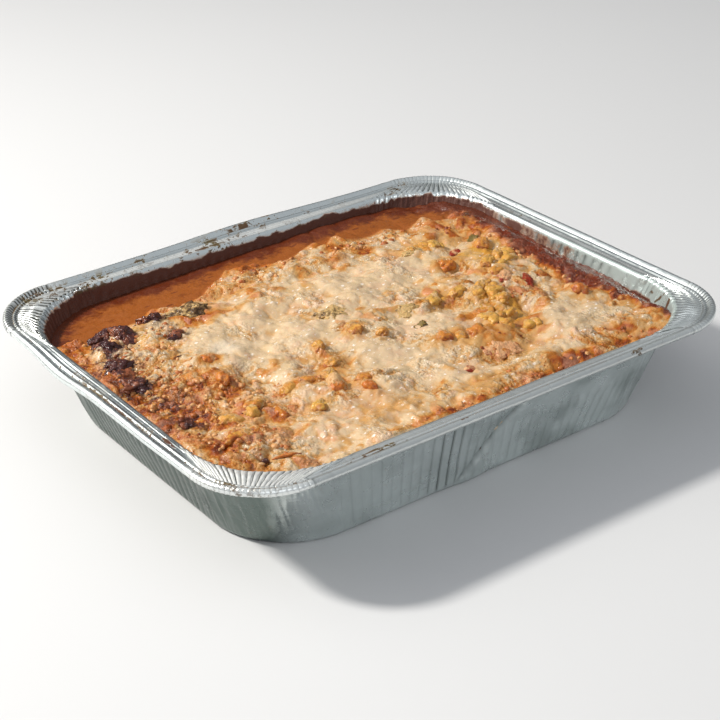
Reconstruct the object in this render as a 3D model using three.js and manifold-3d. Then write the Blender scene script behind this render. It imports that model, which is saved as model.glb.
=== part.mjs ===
// Baked ham and blue cheese pasta in a half-size pressed foil tray.
//
// Millimetres, +Z up. The origin is the centre of the tray's flat base, on the surface it stands on.
// +X runs along the long side, and -Y is the long side nearest to the viewer.
// The tray is one pressed sheet, the bake is one solid out to its uneven top, and each larger piece
// of ham or cheese that lies on it is a solid of its own.

import * as THREE from 'three';
import { mergeVertices } from 'three/addons/utils/BufferGeometryUtils.js';
import Module from 'manifold-3d';

const wasm = await Module();
wasm.setup();

// Driving sizes of the tray
const RIM_LENGTH = 324;
const RIM_WIDTH = 264;
const RIM_RADIUS = 41;
const RIM_TOP = 57.5;
const BASE_LENGTH = 263;
const BASE_WIDTH = 206;
const BASE_RADIUS = 46;
const LIP_LENGTH = 298.4;
const LIP_WIDTH = 236.8;
const LIP_RADIUS = 50;
const LIP_HEIGHT = 54.5;
const FOIL = 0.5;
const FLUTE_DEPTH = 1.0;
const CLEARANCE = 0.3;

// Section of the rolled rim, from its underside round to the flange: distance in from the outer edge,
// and drop below the top of the bead
const RIM_PROFILE = [[5.2, 3.5], [2.3, 4.3], [0, 2.2], [2, 0], [4.6, 2.1], [6, 1.4], [7.4, 2.3]];

// Heights where the fluted stretch of the wall starts, turns and ends
const FLUTE_FOOT = 4;
const FLUTE_MIDDLE = 24;
const FLUTE_HEAD = 46;
// The crushed end of the front wall has flutes only low down
const CRUSHED_FROM_X = 8;
const CRUSHED_FLUTE_HEAD = 27;

// Columns of faces on each stretch of a ring
const PLAIN = { long: 14, short: 11, corner: 10 };
const FLUTED = { long: 60, short: 40, corner: 10 };

// The bake
const BAKE_CROWN = 49.4;
const BAKE_TOP_LIMIT = 53.4;
const BAKE_GRID = 7.4;
const MACARONI = { radius: 3.7, length: 19, bend: 4.5, sides: 6, steps: 2 };
const LUMP = { radius: 6.4, height: 4.4 };
const SCATTER_PITCH = 27;
const COATED_PASTA_SHARE = 0.4;
const SEED = 7;
const DRAWS = { x: 11, y: 12, heading: 13, size: 14, kind: 15 };

const material = (color, roughness, metalness = 0) =>
  new THREE.MeshStandardMaterial({ color, roughness, metalness });
const FOIL_LOOK = material(0xaeb2b4, 0.35, 1);
const BAKE_LOOK = material(0xd9a066, 0.5);
const CHARRED_LOOK = material(0x4a2a26, 0.35);
const HAM_LOOK = material(0xc9826f, 0.45);
const BLUE_CHEESE_LOOK = material(0xa39a72, 0.55);
const HERB_LOOK = material(0x6b6a3a, 0.6);

// Level of the set sauce where it meets the wall, at places round the tray: x, y, height
const WALL_LEVELS = [
  [-146, -60, 47], [-146, 30, 46.5], [-118, 100, 44], [0, 117, 46.6], [62, 118, 48],
  [120, 100, 46], [146, 10, 43], [140, -80, 40.5], [100, -116, 44], [20, -116, 46.5],
  [-100, -110, 46.5],
];

// Back edge of the lumpy layer, beyond which the sauce is smooth: x, y
const LUMPY_BACK_EDGE = [
  [-150, 74], [-124, 72], [-106, 71], [-86, 80], [-66, 76], [-46, 82], [-28, 92], [-8, 98],
  [8, 86], [22, 88], [36, 95], [52, 91], [64, 85], [88, 90], [110, 84], [150, 72],
];

// Pasta that pokes out of the sauce: x, y, heading in degrees, share of the full length
const SHOWING_PASTA = [
  [-55, -56, 60, 0.7], [-46, -40, 100, 0.6], [-36, -57, 10, 0.6], [-37, -28, 40, 0.5],
  [-12, -10, 80, 0.6], [1, -21, 20, 0.6], [48, -8, -15, 1.1], [24, -50, -20, 0.8],
  [36, -46, 10, 0.6], [74, -24, 70, 0.8], [68, -40, 50, 0.8], [58, -57, 20, 0.9],
  [72, -62, -30, 0.6], [85, 25, -10, 0.8], [98, 6, 35, 0.9], [110, 18, 20, 0.9],
  [122, 27, 60, 0.6], [92, -6, 10, 0.7], [90, 47, 75, 0.6], [43, 84, 80, 0.7],
  [-4, 90, 70, 0.7], [9, 68, 60, 0.8], [-92, 7, 15, 0.6], [-101, 33, 80, 0.6],
  [-97, -26, -20, 0.9], [-96, -45, 5, 0.8], [-122, -72, 25, 1.0], [-92, -66, 60, 0.7],
  [113, -42, 70, 0.8], [118, -52, 80, 0.8], [30, 18, 55, 0.7], [-70, -62, 0, 0.8],
];

// Ham burnt nearly black: x, y, length, width, height, heading in degrees
const CHARRED_HAM = [
  [-121, 69, 11, 9, 7, 20], [-112, 61, 9, 11, 7, 0], [-126, 51, 10, 14, 7, 20],
  [-131, 33, 12, 11, 7, 35], [-134, 20, 9, 10, 6, 0], [-134, 7, 12, 12, 7, 10],
  [-131, -14, 7, 9, 5, 0], [-91, 66, 10, 9, 7, 0], [-132, -42, 7, 10, 5, 10],
  [-88, 45, 8, 6, 5, 20],
];

// Ham that has only browned: x, y, length, width, thickness, heading in degrees
const HAM = [
  [39, -73, 19, 10, 3.2, -25], [102, -22, 15, 6, 3.4, 50], [94, -11, 13, 7, 3, 45],
  [12, -80, 7, 5, 2.6, 20], [95, 34, 7, 5, 2.8, 30],
];

// Blue cheese, in flakes and crumbs: x, y, length, width, height, heading in degrees
const BLUE_CHEESE = [
  [-68, 63, 22, 13, 6, -10], [-10, 12, 14, 12, 5, 30], [26, -10, 12, 11, 5, 10],
  [76, 50, 19, 8, 5, 15],
];

// Curled herb leaves: x, y, length, width, thickness, heading in degrees
const HERBS = [[116, 43, 11, 5, 0.9, 25], [20, -29, 8, 5, 0.9, -20]];

// The toppings, each with how far its middle is lifted off the bake and the seed of its unevenness
const TOPPINGS = [
  { name: 'charred_ham', places: CHARRED_HAM, shape: crumbGeometry, look: CHARRED_LOOK, lift: 0.8, seed: 50 },
  { name: 'ham', places: HAM, shape: sliceGeometry, look: HAM_LOOK, lift: 0.6, seed: 70 },
  { name: 'blue_cheese', places: BLUE_CHEESE, shape: crumbGeometry, look: BLUE_CHEESE_LOOK, lift: 0.5, seed: 90 },
  { name: 'herb', places: HERBS, shape: leafGeometry, look: HERB_LOOK, lift: 1.7, seed: 0 },
];

// Bends of the rim: x, y, reach, and how far the outer edge is lifted there
const RIM_BENDS = [
  { x: -162, y: 40, reach: 24, lift: -4.4 },
  { x: -162, y: -30, reach: 44, lift: -1.5 },
  { x: 10, y: 132, reach: 52, lift: 2.4 },
];

// Dents of the wall: the side, its centre along the side and up, its reach, and how far it stands out
const WALL_DENTS = [
  { side: 'front', along: 20, up: 26, reach: 34, rise: 16, out: -2.4 },
  { side: 'front', along: -8, up: 4, reach: 12, rise: 9, out: 1.6 },
  { side: 'left', along: 6, up: 24, reach: 34, rise: 13, out: 1.8 },
  { side: 'back', along: 60, up: 26, reach: 40, rise: 18, out: -1.2 },
];

const clamp01 = (value) => Math.min(1, Math.max(0, value));

/** Smooth rise from 0 to 1. */
function ease(value) {
  const t = clamp01(value);
  return t * t * (3 - 2 * t);
}

/** Bell of height 1 and the given reach. */
function bell(distance, reach) {
  return Math.exp(-((distance / reach) ** 2));
}

/** Repeatable draw between 0 and 1 for a pair of whole numbers. */
function draw(i, j, seed) {
  const wave = Math.sin(i * 127.1 + j * 311.7 + seed * 74.7) * 43758.5453;
  return wave - Math.floor(wave);
}

/** Smooth noise between -1 and 1 with lumps about one cell across. */
function noise(x, y, cell, seed) {
  const u = x / cell;
  const v = y / cell;
  const i = Math.floor(u);
  const j = Math.floor(v);
  const s = ease(u - i);
  const t = ease(v - j);
  const low = draw(i, j, seed) * (1 - s) + draw(i + 1, j, seed) * s;
  const high = draw(i, j + 1, seed) * (1 - s) + draw(i + 1, j + 1, seed) * s;
  return (low * (1 - t) + high * t) * 2 - 1;
}

/** Value at x on a line through points of rising x. */
function follow(points, x) {
  let index = 1;
  while (index < points.length - 1 && points[index][0] < x) index += 1;
  const [x0, y0] = points[index - 1];
  const [x1, y1] = points[index];
  return y0 + (y1 - y0) * clamp01((x - x0) / (x1 - x0));
}

// Rings round the tray

/** Half sizes and corner radius of the foil wall at a height. */
function wallSection(z) {
  const t = z / LIP_HEIGHT;
  return {
    halfX: THREE.MathUtils.lerp(BASE_LENGTH, LIP_LENGTH, t) / 2,
    halfY: THREE.MathUtils.lerp(BASE_WIDTH, LIP_WIDTH, t) / 2,
    radius: THREE.MathUtils.lerp(BASE_RADIUS, LIP_RADIUS, t),
  };
}

/** The same section moved in by a distance. */
function inset(section, distance) {
  return {
    halfX: section.halfX - distance,
    halfY: section.halfY - distance,
    radius: section.radius - distance,
  };
}

const RIM_SECTION = { halfX: RIM_LENGTH / 2, halfY: RIM_WIDTH / 2, radius: RIM_RADIUS };
const SIDES = ['front', 'right', 'back', 'left'];

/** Outline of a rounded rectangle, from the left end of the front side and anticlockwise. */
function outline({ halfX, halfY, radius }, columns) {
  const points = [];
  const centreX = halfX - radius;
  const centreY = halfY - radius;
  const corners = [[centreX, -centreY], [centreX, centreY], [-centreX, centreY], [-centreX, -centreY]];
  SIDES.forEach((side, index) => {
    const angle = (index - 1) * Math.PI / 2;
    const normal = new THREE.Vector2(Math.cos(angle), Math.sin(angle));
    const [fromX, fromY] = corners[(index + 3) % 4];
    const [toX, toY] = corners[index];
    const count = index % 2 ? columns.short : columns.long;
    for (let k = 0; k < count; k += 1) {
      const t = k / count;
      const x = THREE.MathUtils.lerp(fromX, toX, t) + normal.x * radius;
      const y = THREE.MathUtils.lerp(fromY, toY, t) + normal.y * radius;
      points.push({ x, y, normal, side, turn: 2 * index + t, fold: k });
    }
    for (let k = 0; k < columns.corner; k += 1) {
      const t = k / columns.corner;
      const a = angle + t * Math.PI / 2;
      const spoke = new THREE.Vector2(Math.cos(a), Math.sin(a));
      const x = toX + spoke.x * radius;
      const y = toY + spoke.y * radius;
      points.push({ x, y, normal: spoke, side: 'corner', turn: 2 * index + 1 + t, fold: 0 });
    }
  });
  return points;
}

/** How far the dents push the wall out at a point. */
function dentAt(point, z) {
  let out = 0;
  for (const dent of WALL_DENTS) {
    if (dent.side !== point.side) continue;
    const along = dent.side === 'left' ? point.y : point.x;
    out += dent.out * bell(along - dent.along, dent.reach) * bell(z - dent.up, dent.rise);
  }
  const straightShare = point.turn % 1;
  return out * ease(straightShare * 6) * ease((1 - straightShare) * 6);
}

/** Ring on the wall, moved in from its outer face, with flutes where it has the columns. */
function wallRing(z, moveIn, columns) {
  return outline(inset(wallSection(z), moveIn), columns).map((point) => {
    const crushed = point.side === 'front' && point.x > CRUSHED_FROM_X && z > CRUSHED_FLUTE_HEAD;
    const fluted = columns === FLUTED && !crushed ? FLUTE_DEPTH * (point.fold % 2 ? 0.5 : -0.5) : 0;
    const move = dentAt(point, z) + (point.side === 'corner' || point.fold === 0 ? 0 : fluted);
    return {
      turn: point.turn,
      place: new THREE.Vector3(point.x + point.normal.x * move, point.y + point.normal.y * move, z),
    };
  });
}

/** How far the bends lift the rim at a place, all of it at the outer edge and none at the lip. */
function rimLift(x, y, share) {
  return share * RIM_BENDS.reduce((sum, bend) => {
    return sum + bend.lift * bell(Math.hypot(x - bend.x, y - bend.y), bend.reach);
  }, 0);
}

/** Ring on the rim, moved in from the outer edge. */
function rimRing(moveIn, z) {
  const share = 1 - moveIn / ((RIM_LENGTH - LIP_LENGTH) / 2);
  return outline(inset(RIM_SECTION, moveIn), PLAIN).map((point) => ({
    turn: point.turn,
    place: new THREE.Vector3(point.x, point.y, z + rimLift(point.x, point.y, share)),
  }));
}

/** Closed geometry through rings that follow the surface, with a flat cap at each end. */
function loftRings(rings) {
  const positions = [];
  const triangles = [];
  const starts = rings.map((ring) => {
    const start = positions.length / 3;
    ring.forEach(({ place }) => positions.push(place.x, place.y, place.z));
    return start;
  });
  const turnAt = (ring, k) => (k < ring.length ? ring[k].turn : 2 * SIDES.length);
  for (let r = 0; r + 1 < rings.length; r += 1) {
    const [near, far] = [rings[r], rings[r + 1]];
    let i = 0;
    let j = 0;
    while (i < near.length || j < far.length) {
      const a = starts[r] + (i % near.length);
      const b = starts[r + 1] + (j % far.length);
      const advanceNear = j >= far.length || (i < near.length && turnAt(near, i + 1) <= turnAt(far, j + 1));
      if (advanceNear) {
        triangles.push(a, starts[r] + ((i + 1) % near.length), b);
        i += 1;
      } else {
        triangles.push(a, starts[r + 1] + ((j + 1) % far.length), b);
        j += 1;
      }
    }
  }
  addCap(positions, triangles, rings[0], starts[0], true);
  addCap(positions, triangles, rings[rings.length - 1], starts[starts.length - 1], false);
  const geometry = new THREE.BufferGeometry();
  geometry.setAttribute('position', new THREE.Float32BufferAttribute(positions, 3));
  geometry.setIndex(triangles);
  return geometry;
}

/** Fan of faces from a ring to its middle. */
function addCap(positions, triangles, ring, start, facesDown) {
  const middle = positions.length / 3;
  positions.push(0, 0, ring[0].place.z);
  ring.forEach((_, k) => {
    const next = start + ((k + 1) % ring.length);
    triangles.push(...(facesDown ? [middle, next, start + k] : [middle, start + k, next]));
  });
}

/** The pressed foil tray: out from the base, up the wall, over the rolled rim and back down inside. */
function trayGeometry() {
  const edge = FOIL / 2;
  return loftRings([
    wallRing(0, edge, PLAIN),
    wallRing(FLUTE_FOOT, 0, FLUTED),
    wallRing(FLUTE_MIDDLE, 0, FLUTED),
    wallRing(FLUTE_HEAD, 0, FLUTED),
    wallRing(LIP_HEIGHT - FOIL, 0, PLAIN),
    ...RIM_PROFILE.map(([moveIn, drop]) => rimRing(moveIn, RIM_TOP - drop)),
    wallRing(LIP_HEIGHT, FOIL, PLAIN),
    wallRing(FLUTE_HEAD, FOIL, FLUTED),
    wallRing(FLUTE_MIDDLE, FOIL, FLUTED),
    wallRing(FLUTE_FOOT, FOIL, FLUTED),
    wallRing(FOIL, FOIL + edge, PLAIN),
  ]);
}

/** The room inside the tray, clear of its wall and of its flutes. */
function cavityGeometry() {
  const clear = FOIL + FLUTE_DEPTH / 2 + CLEARANCE;
  const floor = FOIL + CLEARANCE;
  const heights = [floor, FLUTE_MIDDLE, FLUTE_HEAD, LIP_HEIGHT];
  return loftRings(heights.map((z) => wallRing(z, z === floor ? clear + CLEARANCE : clear, PLAIN)));
}

// Surface of the bake

/** Level of the smooth sauce, blended from what is seen round the wall. */
function sauceLevel(x, y) {
  let sum = 0;
  let weights = 0;
  for (const [wallX, wallY, level] of WALL_LEVELS) {
    const weight = 1 / ((x - wallX) ** 2 + (y - wallY) ** 2 + 60);
    sum += level * weight;
    weights += weight;
  }
  return sum / weights;
}

/** 1 on the lumpy layer and 0 on the smooth sauce at its edge. */
function lumpiness(x, y) {
  const wander = 3 * noise(x, y, 13, SEED + 1);
  const back = ease((follow(LUMPY_BACK_EDGE, x) + wander - y) / 7 + 0.5);
  const right = ease((146 - x) / 16);
  const left = ease((x + 147) / 8);
  const front = ease((y + 118) / 7);
  return back * right * left * front;
}

/** Height of the bake's top, without the pasta that pokes out. */
function bakeHeight(x, y) {
  const level = sauceLevel(x, y);
  const mask = lumpiness(x, y);
  const mounds = 1.0 * noise(x, y, 34, SEED + 2);
  const relief = 2.6 * noise(x, y, 16, SEED + 3) + 1.2 * noise(x, y, 10, SEED + 4);
  const sauceWaves = 0.35 * noise(x, y, 22, SEED + 5);
  const height = level + sauceWaves + (BAKE_CROWN + mounds + relief - level) * mask;
  return Math.min(height, BAKE_TOP_LIMIT - 1);
}

/** Closed block whose upper face follows the bake's top. */
function surfaceBlock() {
  const columns = Math.round(LIP_LENGTH / BAKE_GRID) + 1;
  const rows = Math.round(LIP_WIDTH / BAKE_GRID) + 1;
  const positions = [];
  const triangles = [];
  const bottom = -10;
  for (const upper of [true, false]) {
    for (let j = 0; j <= rows; j += 1) {
      for (let i = 0; i <= columns; i += 1) {
        const x = (i - columns / 2) * BAKE_GRID;
        const y = (j - rows / 2) * BAKE_GRID;
        positions.push(x, y, upper ? bakeHeight(x, y) : bottom);
      }
    }
  }
  const layer = (columns + 1) * (rows + 1);
  const at = (i, j) => j * (columns + 1) + i;
  for (let j = 0; j < rows; j += 1) {
    for (let i = 0; i < columns; i += 1) {
      const [a, b, c, d] = [at(i, j), at(i + 1, j), at(i + 1, j + 1), at(i, j + 1)];
      triangles.push(a, b, c, a, c, d);
      triangles.push(layer + a, layer + c, layer + b, layer + a, layer + d, layer + c);
    }
  }
  const skirt = (a, b) => triangles.push(a, layer + b, b, a, layer + a, layer + b);
  for (let i = 0; i < columns; i += 1) {
    skirt(at(i, 0), at(i + 1, 0));
    skirt(at(i + 1, rows), at(i, rows));
  }
  for (let j = 0; j < rows; j += 1) {
    skirt(at(0, j + 1), at(0, j));
    skirt(at(columns, j), at(columns, j + 1));
  }
  const geometry = new THREE.BufferGeometry();
  geometry.setAttribute('position', new THREE.Float32BufferAttribute(positions, 3));
  geometry.setIndex(triangles);
  return geometry;
}

// Pieces of food

/** Short bent pasta tube with few sides, its middle at the origin and its arch up. */
function macaroniGeometry(share) {
  const half = (MACARONI.length * share) / 2;
  const arch = MACARONI.bend * share;
  const path = new THREE.QuadraticBezierCurve3(
    new THREE.Vector3(-half, 0, -arch / 2),
    new THREE.Vector3(0, 0, arch),
    new THREE.Vector3(half, 0, -arch / 2),
  );
  const section = new THREE.Shape();
  for (let k = 0; k < MACARONI.sides; k += 1) {
    const angle = (k / MACARONI.sides) * 2 * Math.PI;
    const x = MACARONI.radius * Math.cos(angle);
    const y = MACARONI.radius * Math.sin(angle);
    if (k === 0) section.moveTo(x, y);
    else section.lineTo(x, y);
  }
  section.closePath();
  return new THREE.ExtrudeGeometry(section, { steps: MACARONI.steps, extrudePath: path });
}

/** Uneven rounded crumb of the given length, width and height. */
function crumbGeometry(length, width, height, seed, detail = 1) {
  const geometry = new THREE.IcosahedronGeometry(0.5, detail);
  const position = geometry.attributes.position;
  for (let k = 0; k < position.count; k += 1) {
    const [x, y, z] = [position.getX(k), position.getY(k), position.getZ(k)];
    const swell = 1 + 0.3 * (draw(Math.round(x * 97), Math.round(y * 89 + z * 61), seed) - 0.5);
    position.setXYZ(k, x * length * swell, y * width * swell, z * height * swell);
  }
  return geometry;
}

/** Uneven flat slice of the given length, width and thickness. */
function sliceGeometry(length, width, thickness, seed) {
  const corners = 9;
  const shape = new THREE.Shape();
  for (let k = 0; k < corners; k += 1) {
    const angle = (k / corners) * 2 * Math.PI;
    const reach = 0.5 * (0.85 + 0.3 * draw(k, seed, SEED));
    const x = length * reach * Math.cos(angle);
    const y = width * reach * Math.sin(angle);
    if (k === 0) shape.moveTo(x, y);
    else shape.lineTo(x, y);
  }
  shape.closePath();
  const geometry = new THREE.ExtrudeGeometry(shape, { depth: thickness, bevelEnabled: false });
  return geometry.translate(0, 0, -thickness / 2);
}

/** Thin wavy leaf, both of its faces split alike. */
function leafGeometry(length, width, thickness) {
  const leaf = new THREE.BoxGeometry(length, width, thickness, 6, 2, 1);
  const position = leaf.attributes.position;
  for (let k = 0; k < position.count; k += 1) {
    const along = position.getX(k) / length;
    const taper = 1 - (2 * Math.abs(along)) ** 2 * 0.75;
    position.setY(k, position.getY(k) * taper);
    position.setZ(k, position.getZ(k) + 0.8 * Math.sin(along * 7));
  }
  return leaf;
}

/** Turns a geometry about Z and moves it to its place. */
function placed(geometry, x, y, z, headingDegrees) {
  geometry.rotateZ(THREE.MathUtils.degToRad(headingDegrees));
  return geometry.translate(x, y, z);
}

/** Lays a geometry on the bake, so that it follows the ups and downs below it. */
function draped(geometry, x, y, lift, headingDegrees) {
  placed(geometry, x, y, lift, headingDegrees);
  const position = geometry.attributes.position;
  for (let k = 0; k < position.count; k += 1) {
    const z = position.getZ(k) + bakeHeight(position.getX(k), position.getY(k));
    position.setZ(k, Math.min(z, BAKE_TOP_LIMIT));
  }
  return geometry;
}

/** Closed solid of a geometry, its shared corners merged. */
function solidOf(geometry) {
  const bare = geometry.clone();
  for (const name of ['normal', 'uv']) bare.deleteAttribute(name);
  const merged = mergeVertices(bare, 1e-4);
  return new wasm.Manifold(new wasm.Mesh({
    numProp: 3,
    vertProperties: new Float32Array(merged.attributes.position.array),
    triVerts: new Uint32Array(merged.index.array),
  }));
}

/** Named mesh of a solid, with its own origin at its middle unless it stands at the tray's. */
function meshOf(solid, name, material, centred = true) {
  const { vertProperties, triVerts } = solid.getMesh();
  const geometry = new THREE.BufferGeometry();
  geometry.setAttribute('position', new THREE.BufferAttribute(new Float32Array(vertProperties), 3));
  geometry.setIndex(new THREE.BufferAttribute(new Uint32Array(triVerts), 1));
  const mesh = new THREE.Mesh(geometry, material);
  if (centred) {
    geometry.computeBoundingBox();
    const middle = geometry.boundingBox.getCenter(new THREE.Vector3());
    geometry.translate(-middle.x, -middle.y, -middle.z);
    mesh.position.copy(middle);
  }
  geometry.computeVertexNormals();
  mesh.name = name;
  return mesh;
}

/** Whether a piece of the given reach stays clear of every topping. */
function clearOfToppings(x, y, reach) {
  return TOPPINGS.every(({ places }) => places.every(([toppingX, toppingY, length, width]) => {
    return Math.hypot(x - toppingX, y - toppingY) > Math.max(length, width) / 2 + reach;
  }));
}

/** Height of a piece's middle, its top standing no higher than the bake's highest point. */
function pieceHeight(x, y, lift, above) {
  return Math.min(bakeHeight(x, y) + lift, BAKE_TOP_LIMIT - above);
}

/** Pasta seen poking out, as solids. */
function showingPasta() {
  return SHOWING_PASTA
    .filter(([x, y]) => clearOfToppings(x, y, MACARONI.radius + 1))
    .map(([x, y, heading, share]) => {
      const above = MACARONI.radius + MACARONI.bend * share * 0.5;
      const z = pieceHeight(x, y, -0.3, above);
      return solidOf(placed(macaroniGeometry(share), x, y, z, heading));
    });
}

/** Lumps and pasta under a coat of sauce, spread evenly over the lumpy layer. */
function coatedPieces() {
  const pieces = [];
  const columns = Math.floor(LIP_LENGTH / SCATTER_PITCH);
  const rows = Math.floor(LIP_WIDTH / SCATTER_PITCH);
  for (let j = 0; j < rows; j += 1) {
    for (let i = 0; i < columns; i += 1) {
      const x = (i + draw(i, j, DRAWS.x) - columns / 2) * SCATTER_PITCH;
      const y = (j + draw(i, j, DRAWS.y) - rows / 2) * SCATTER_PITCH;
      const farFromPasta = SHOWING_PASTA.every(([px, py]) => Math.hypot(x - px, y - py) > 3 * MACARONI.radius);
      if (lumpiness(x, y) < 0.9 || !farFromPasta || !clearOfToppings(x, y, LUMP.radius + 1)) continue;
      const heading = draw(i, j, DRAWS.heading) * 180;
      const scale = 0.75 + 0.6 * draw(i, j, DRAWS.size);
      if (draw(i, j, DRAWS.kind) < COATED_PASTA_SHARE) {
        const z = pieceHeight(x, y, -0.9, MACARONI.radius + MACARONI.bend / 2);
        pieces.push(solidOf(placed(macaroniGeometry(0.8), x, y, z, heading)));
      } else {
        const z = pieceHeight(x, y, -0.8, LUMP.height);
        const lump = crumbGeometry(2 * LUMP.radius * scale, 2 * LUMP.radius, 2 * LUMP.height, i + 31 * j, 0);
        pieces.push(solidOf(placed(lump, x, y, z, heading)));
      }
    }
  }
  return pieces;
}

const cavity = solidOf(cavityGeometry());
const core = solidOf(surfaceBlock()).intersect(cavity);
const pieces = [...showingPasta(), ...coatedPieces()];
const bake = wasm.Manifold.union([core, ...pieces]).intersect(cavity);
const seat = core.translate([0, 0, CLEARANCE]);

const dish = new THREE.Group();
const tray = new THREE.Mesh(trayGeometry(), FOIL_LOOK);
tray.name = 'tray';
dish.add(tray);

const food = new THREE.Group();
food.add(meshOf(bake, 'pasta_bake', BAKE_LOOK, false));
for (const { name, places, shape, look, lift, seed } of TOPPINGS) {
  places.forEach(([x, y, length, width, height, heading], index) => {
    const geometry = shape(length, width, height, index + seed);
    const solid = solidOf(draped(geometry, x, y, lift, heading)).subtract(seat);
    food.add(meshOf(solid, `${name}_${index + 1}`, look));
  });
}
dish.add(food);

export default dish;
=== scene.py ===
"""Looks of a baked ham and blue cheese pasta in a pressed foil tray.

Everything is worked out in millimetres round the centre of the tray's base, and turned into metres
when a mesh is made. The camera looks from the front left corner, so -X and -Y are the near sides.
"""

import logging
import math
from dataclasses import dataclass, field
from enum import Enum
from typing import Iterable, Sequence

import bmesh
import bpy
import numpy as np
from mathutils import Matrix, Vector


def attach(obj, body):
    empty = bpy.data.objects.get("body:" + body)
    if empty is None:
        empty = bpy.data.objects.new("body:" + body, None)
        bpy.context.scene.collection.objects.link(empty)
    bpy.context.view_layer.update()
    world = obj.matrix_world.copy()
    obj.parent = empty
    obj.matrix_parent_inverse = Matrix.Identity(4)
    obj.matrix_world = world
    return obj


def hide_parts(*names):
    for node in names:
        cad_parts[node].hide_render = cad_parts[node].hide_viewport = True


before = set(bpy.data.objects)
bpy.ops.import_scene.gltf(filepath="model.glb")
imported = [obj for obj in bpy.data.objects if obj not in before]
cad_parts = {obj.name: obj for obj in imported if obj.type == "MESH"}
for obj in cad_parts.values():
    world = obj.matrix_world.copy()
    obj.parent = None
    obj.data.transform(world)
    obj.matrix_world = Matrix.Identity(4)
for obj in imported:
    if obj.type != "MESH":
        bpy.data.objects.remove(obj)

Array = np.ndarray
Pair = tuple[Array, Array]
Material = bpy.types.Material
Node = bpy.types.Node
NodeTree = bpy.types.NodeTree
Object = bpy.types.Object
Socket = bpy.types.NodeSocket
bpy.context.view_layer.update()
BODY = "root"
MM = 0.001
LOG = logging.getLogger("pasta_bake")


# Plain mathematics

def ease(value: Array | float) -> Array:
    """Rise smoothly from 0 to 1."""
    t = np.clip(value, 0.0, 1.0)
    return t * t * (3.0 - 2.0 * t)


def bell(distance: Array | float, reach: float) -> Array:
    """Bell of height 1 with the given reach."""
    return np.exp(-((distance / reach) ** 2))


def span(value: Array, low: float, rise: float, high: float, fall: float) -> Array:
    """1 between low and high, with a smooth rise from the one and a smooth fall to the other."""
    return ease((value - low) / rise) * ease((high - value) / fall)


def draw(i: Array | float, j: Array | float, seed: int) -> Array:
    """Repeatable draw between 0 and 1 for a pair of whole numbers."""
    wave = np.sin(i * 127.1 + j * 311.7 + seed * 74.7) * 43758.5453
    return wave - np.floor(wave)


def noise(x: Array, y: Array, cell: float, seed: int) -> Array:
    """Smooth noise between -1 and 1.

    Args:
        x: Places along X.
        y: Places along Y.
        cell: Distance from one lump to the next.
        seed: Which noise.

    Returns:
        The noise at each place.
    """
    u, v = np.asarray(x) / cell, np.asarray(y) / cell
    i, j = np.floor(u), np.floor(v)
    s, t = ease(u - i), ease(v - j)
    low = draw(i, j, seed) * (1 - s) + draw(i + 1, j, seed) * s
    high = draw(i, j + 1, seed) * (1 - s) + draw(i + 1, j + 1, seed) * s
    return (low * (1 - t) + high * t) * 2 - 1


def layered(x: Array, y: Array, cell: float, seed: int, layers: int = 3) -> Array:
    """Sum of ever finer noise, each layer turned against the last so that no grid shows.

    Args:
        x: Places along X.
        y: Places along Y.
        cell: Size of the coarsest lumps.
        seed: Which noise.
        layers: How many layers.

    Returns:
        Noise between about -1 and 1.
    """
    total = np.zeros(np.shape(x))
    for layer in range(layers):
        turn = 0.7 + 1.1 * layer
        u = x * math.cos(turn) + y * math.sin(turn)
        v = y * math.cos(turn) - x * math.sin(turn)
        total = total + noise(u, v, cell / 2 ** layer, seed + layer) / 2 ** layer
    return total / 1.6


def domes(x: Array, y: Array, cell: float, seed: int,
          long: float = 0.85, short: float = 0.5) -> Pair:
    """Rounded lumps that lie every way across each other.

    Args:
        x: Places along X.
        y: Places along Y.
        cell: Distance from one lump to the next.
        seed: Which lumps.
        long: Half length of a lump, as a share of the cell.
        short: Half width of a lump, as a share of the cell.

    Returns:
        Height of the lump that shows, from 0 in a gap to 1, and that lump's own draw.
    """
    u, v = np.asarray(x) / cell, np.asarray(y) / cell
    i, j = np.floor(u), np.floor(v)
    best = np.zeros(u.shape)
    owner = np.zeros(u.shape)
    for step_i in (-1, 0, 1):
        for step_j in (-1, 0, 1):
            a, b = i + step_i, j + step_j
            turn = math.pi * draw(a, b, seed + 2)
            across = u - a - draw(a, b, seed)
            up = v - b - draw(a, b, seed + 1)
            p = (across * np.cos(turn) + up * np.sin(turn)) / long
            q = (up * np.cos(turn) - across * np.sin(turn)) / short
            own = draw(a, b, seed + 3)
            rise = (0.5 + 0.5 * own) * np.sqrt(np.maximum(1 - p * p - q * q, 0))
            shows = rise > best
            best = np.where(shows, rise, best)
            owner = np.where(shows, own, owner)
    return best, owner


def soft_max(a: Array, b: Array, blend: float) -> Array:
    """Larger of two heights, with a fillet of the given size where they meet."""
    gap = np.maximum(blend - np.abs(a - b), 0) / blend
    return np.maximum(a, b) + gap * gap * blend * 0.25


def spread_out(grid: Array, reach: int) -> Array:
    """Mean of a grid's values over a square round each.

    Args:
        grid: The values.
        reach: Half the square's side, in steps of the grid.

    Returns:
        A grid of the means.
    """
    padded = np.pad(grid, reach, mode="edge")
    total = np.zeros(grid.shape)
    for i in range(2 * reach + 1):
        for j in range(2 * reach + 1):
            total += padded[i:i + grid.shape[0], j:j + grid.shape[1]]
    return total / (2 * reach + 1) ** 2


def follow(points: Sequence[tuple[float, float]], x: Array) -> Array:
    """Value at x on a line through points of rising x."""
    return np.interp(x, [p[0] for p in points], [p[1] for p in points])


# Meshes

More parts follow.
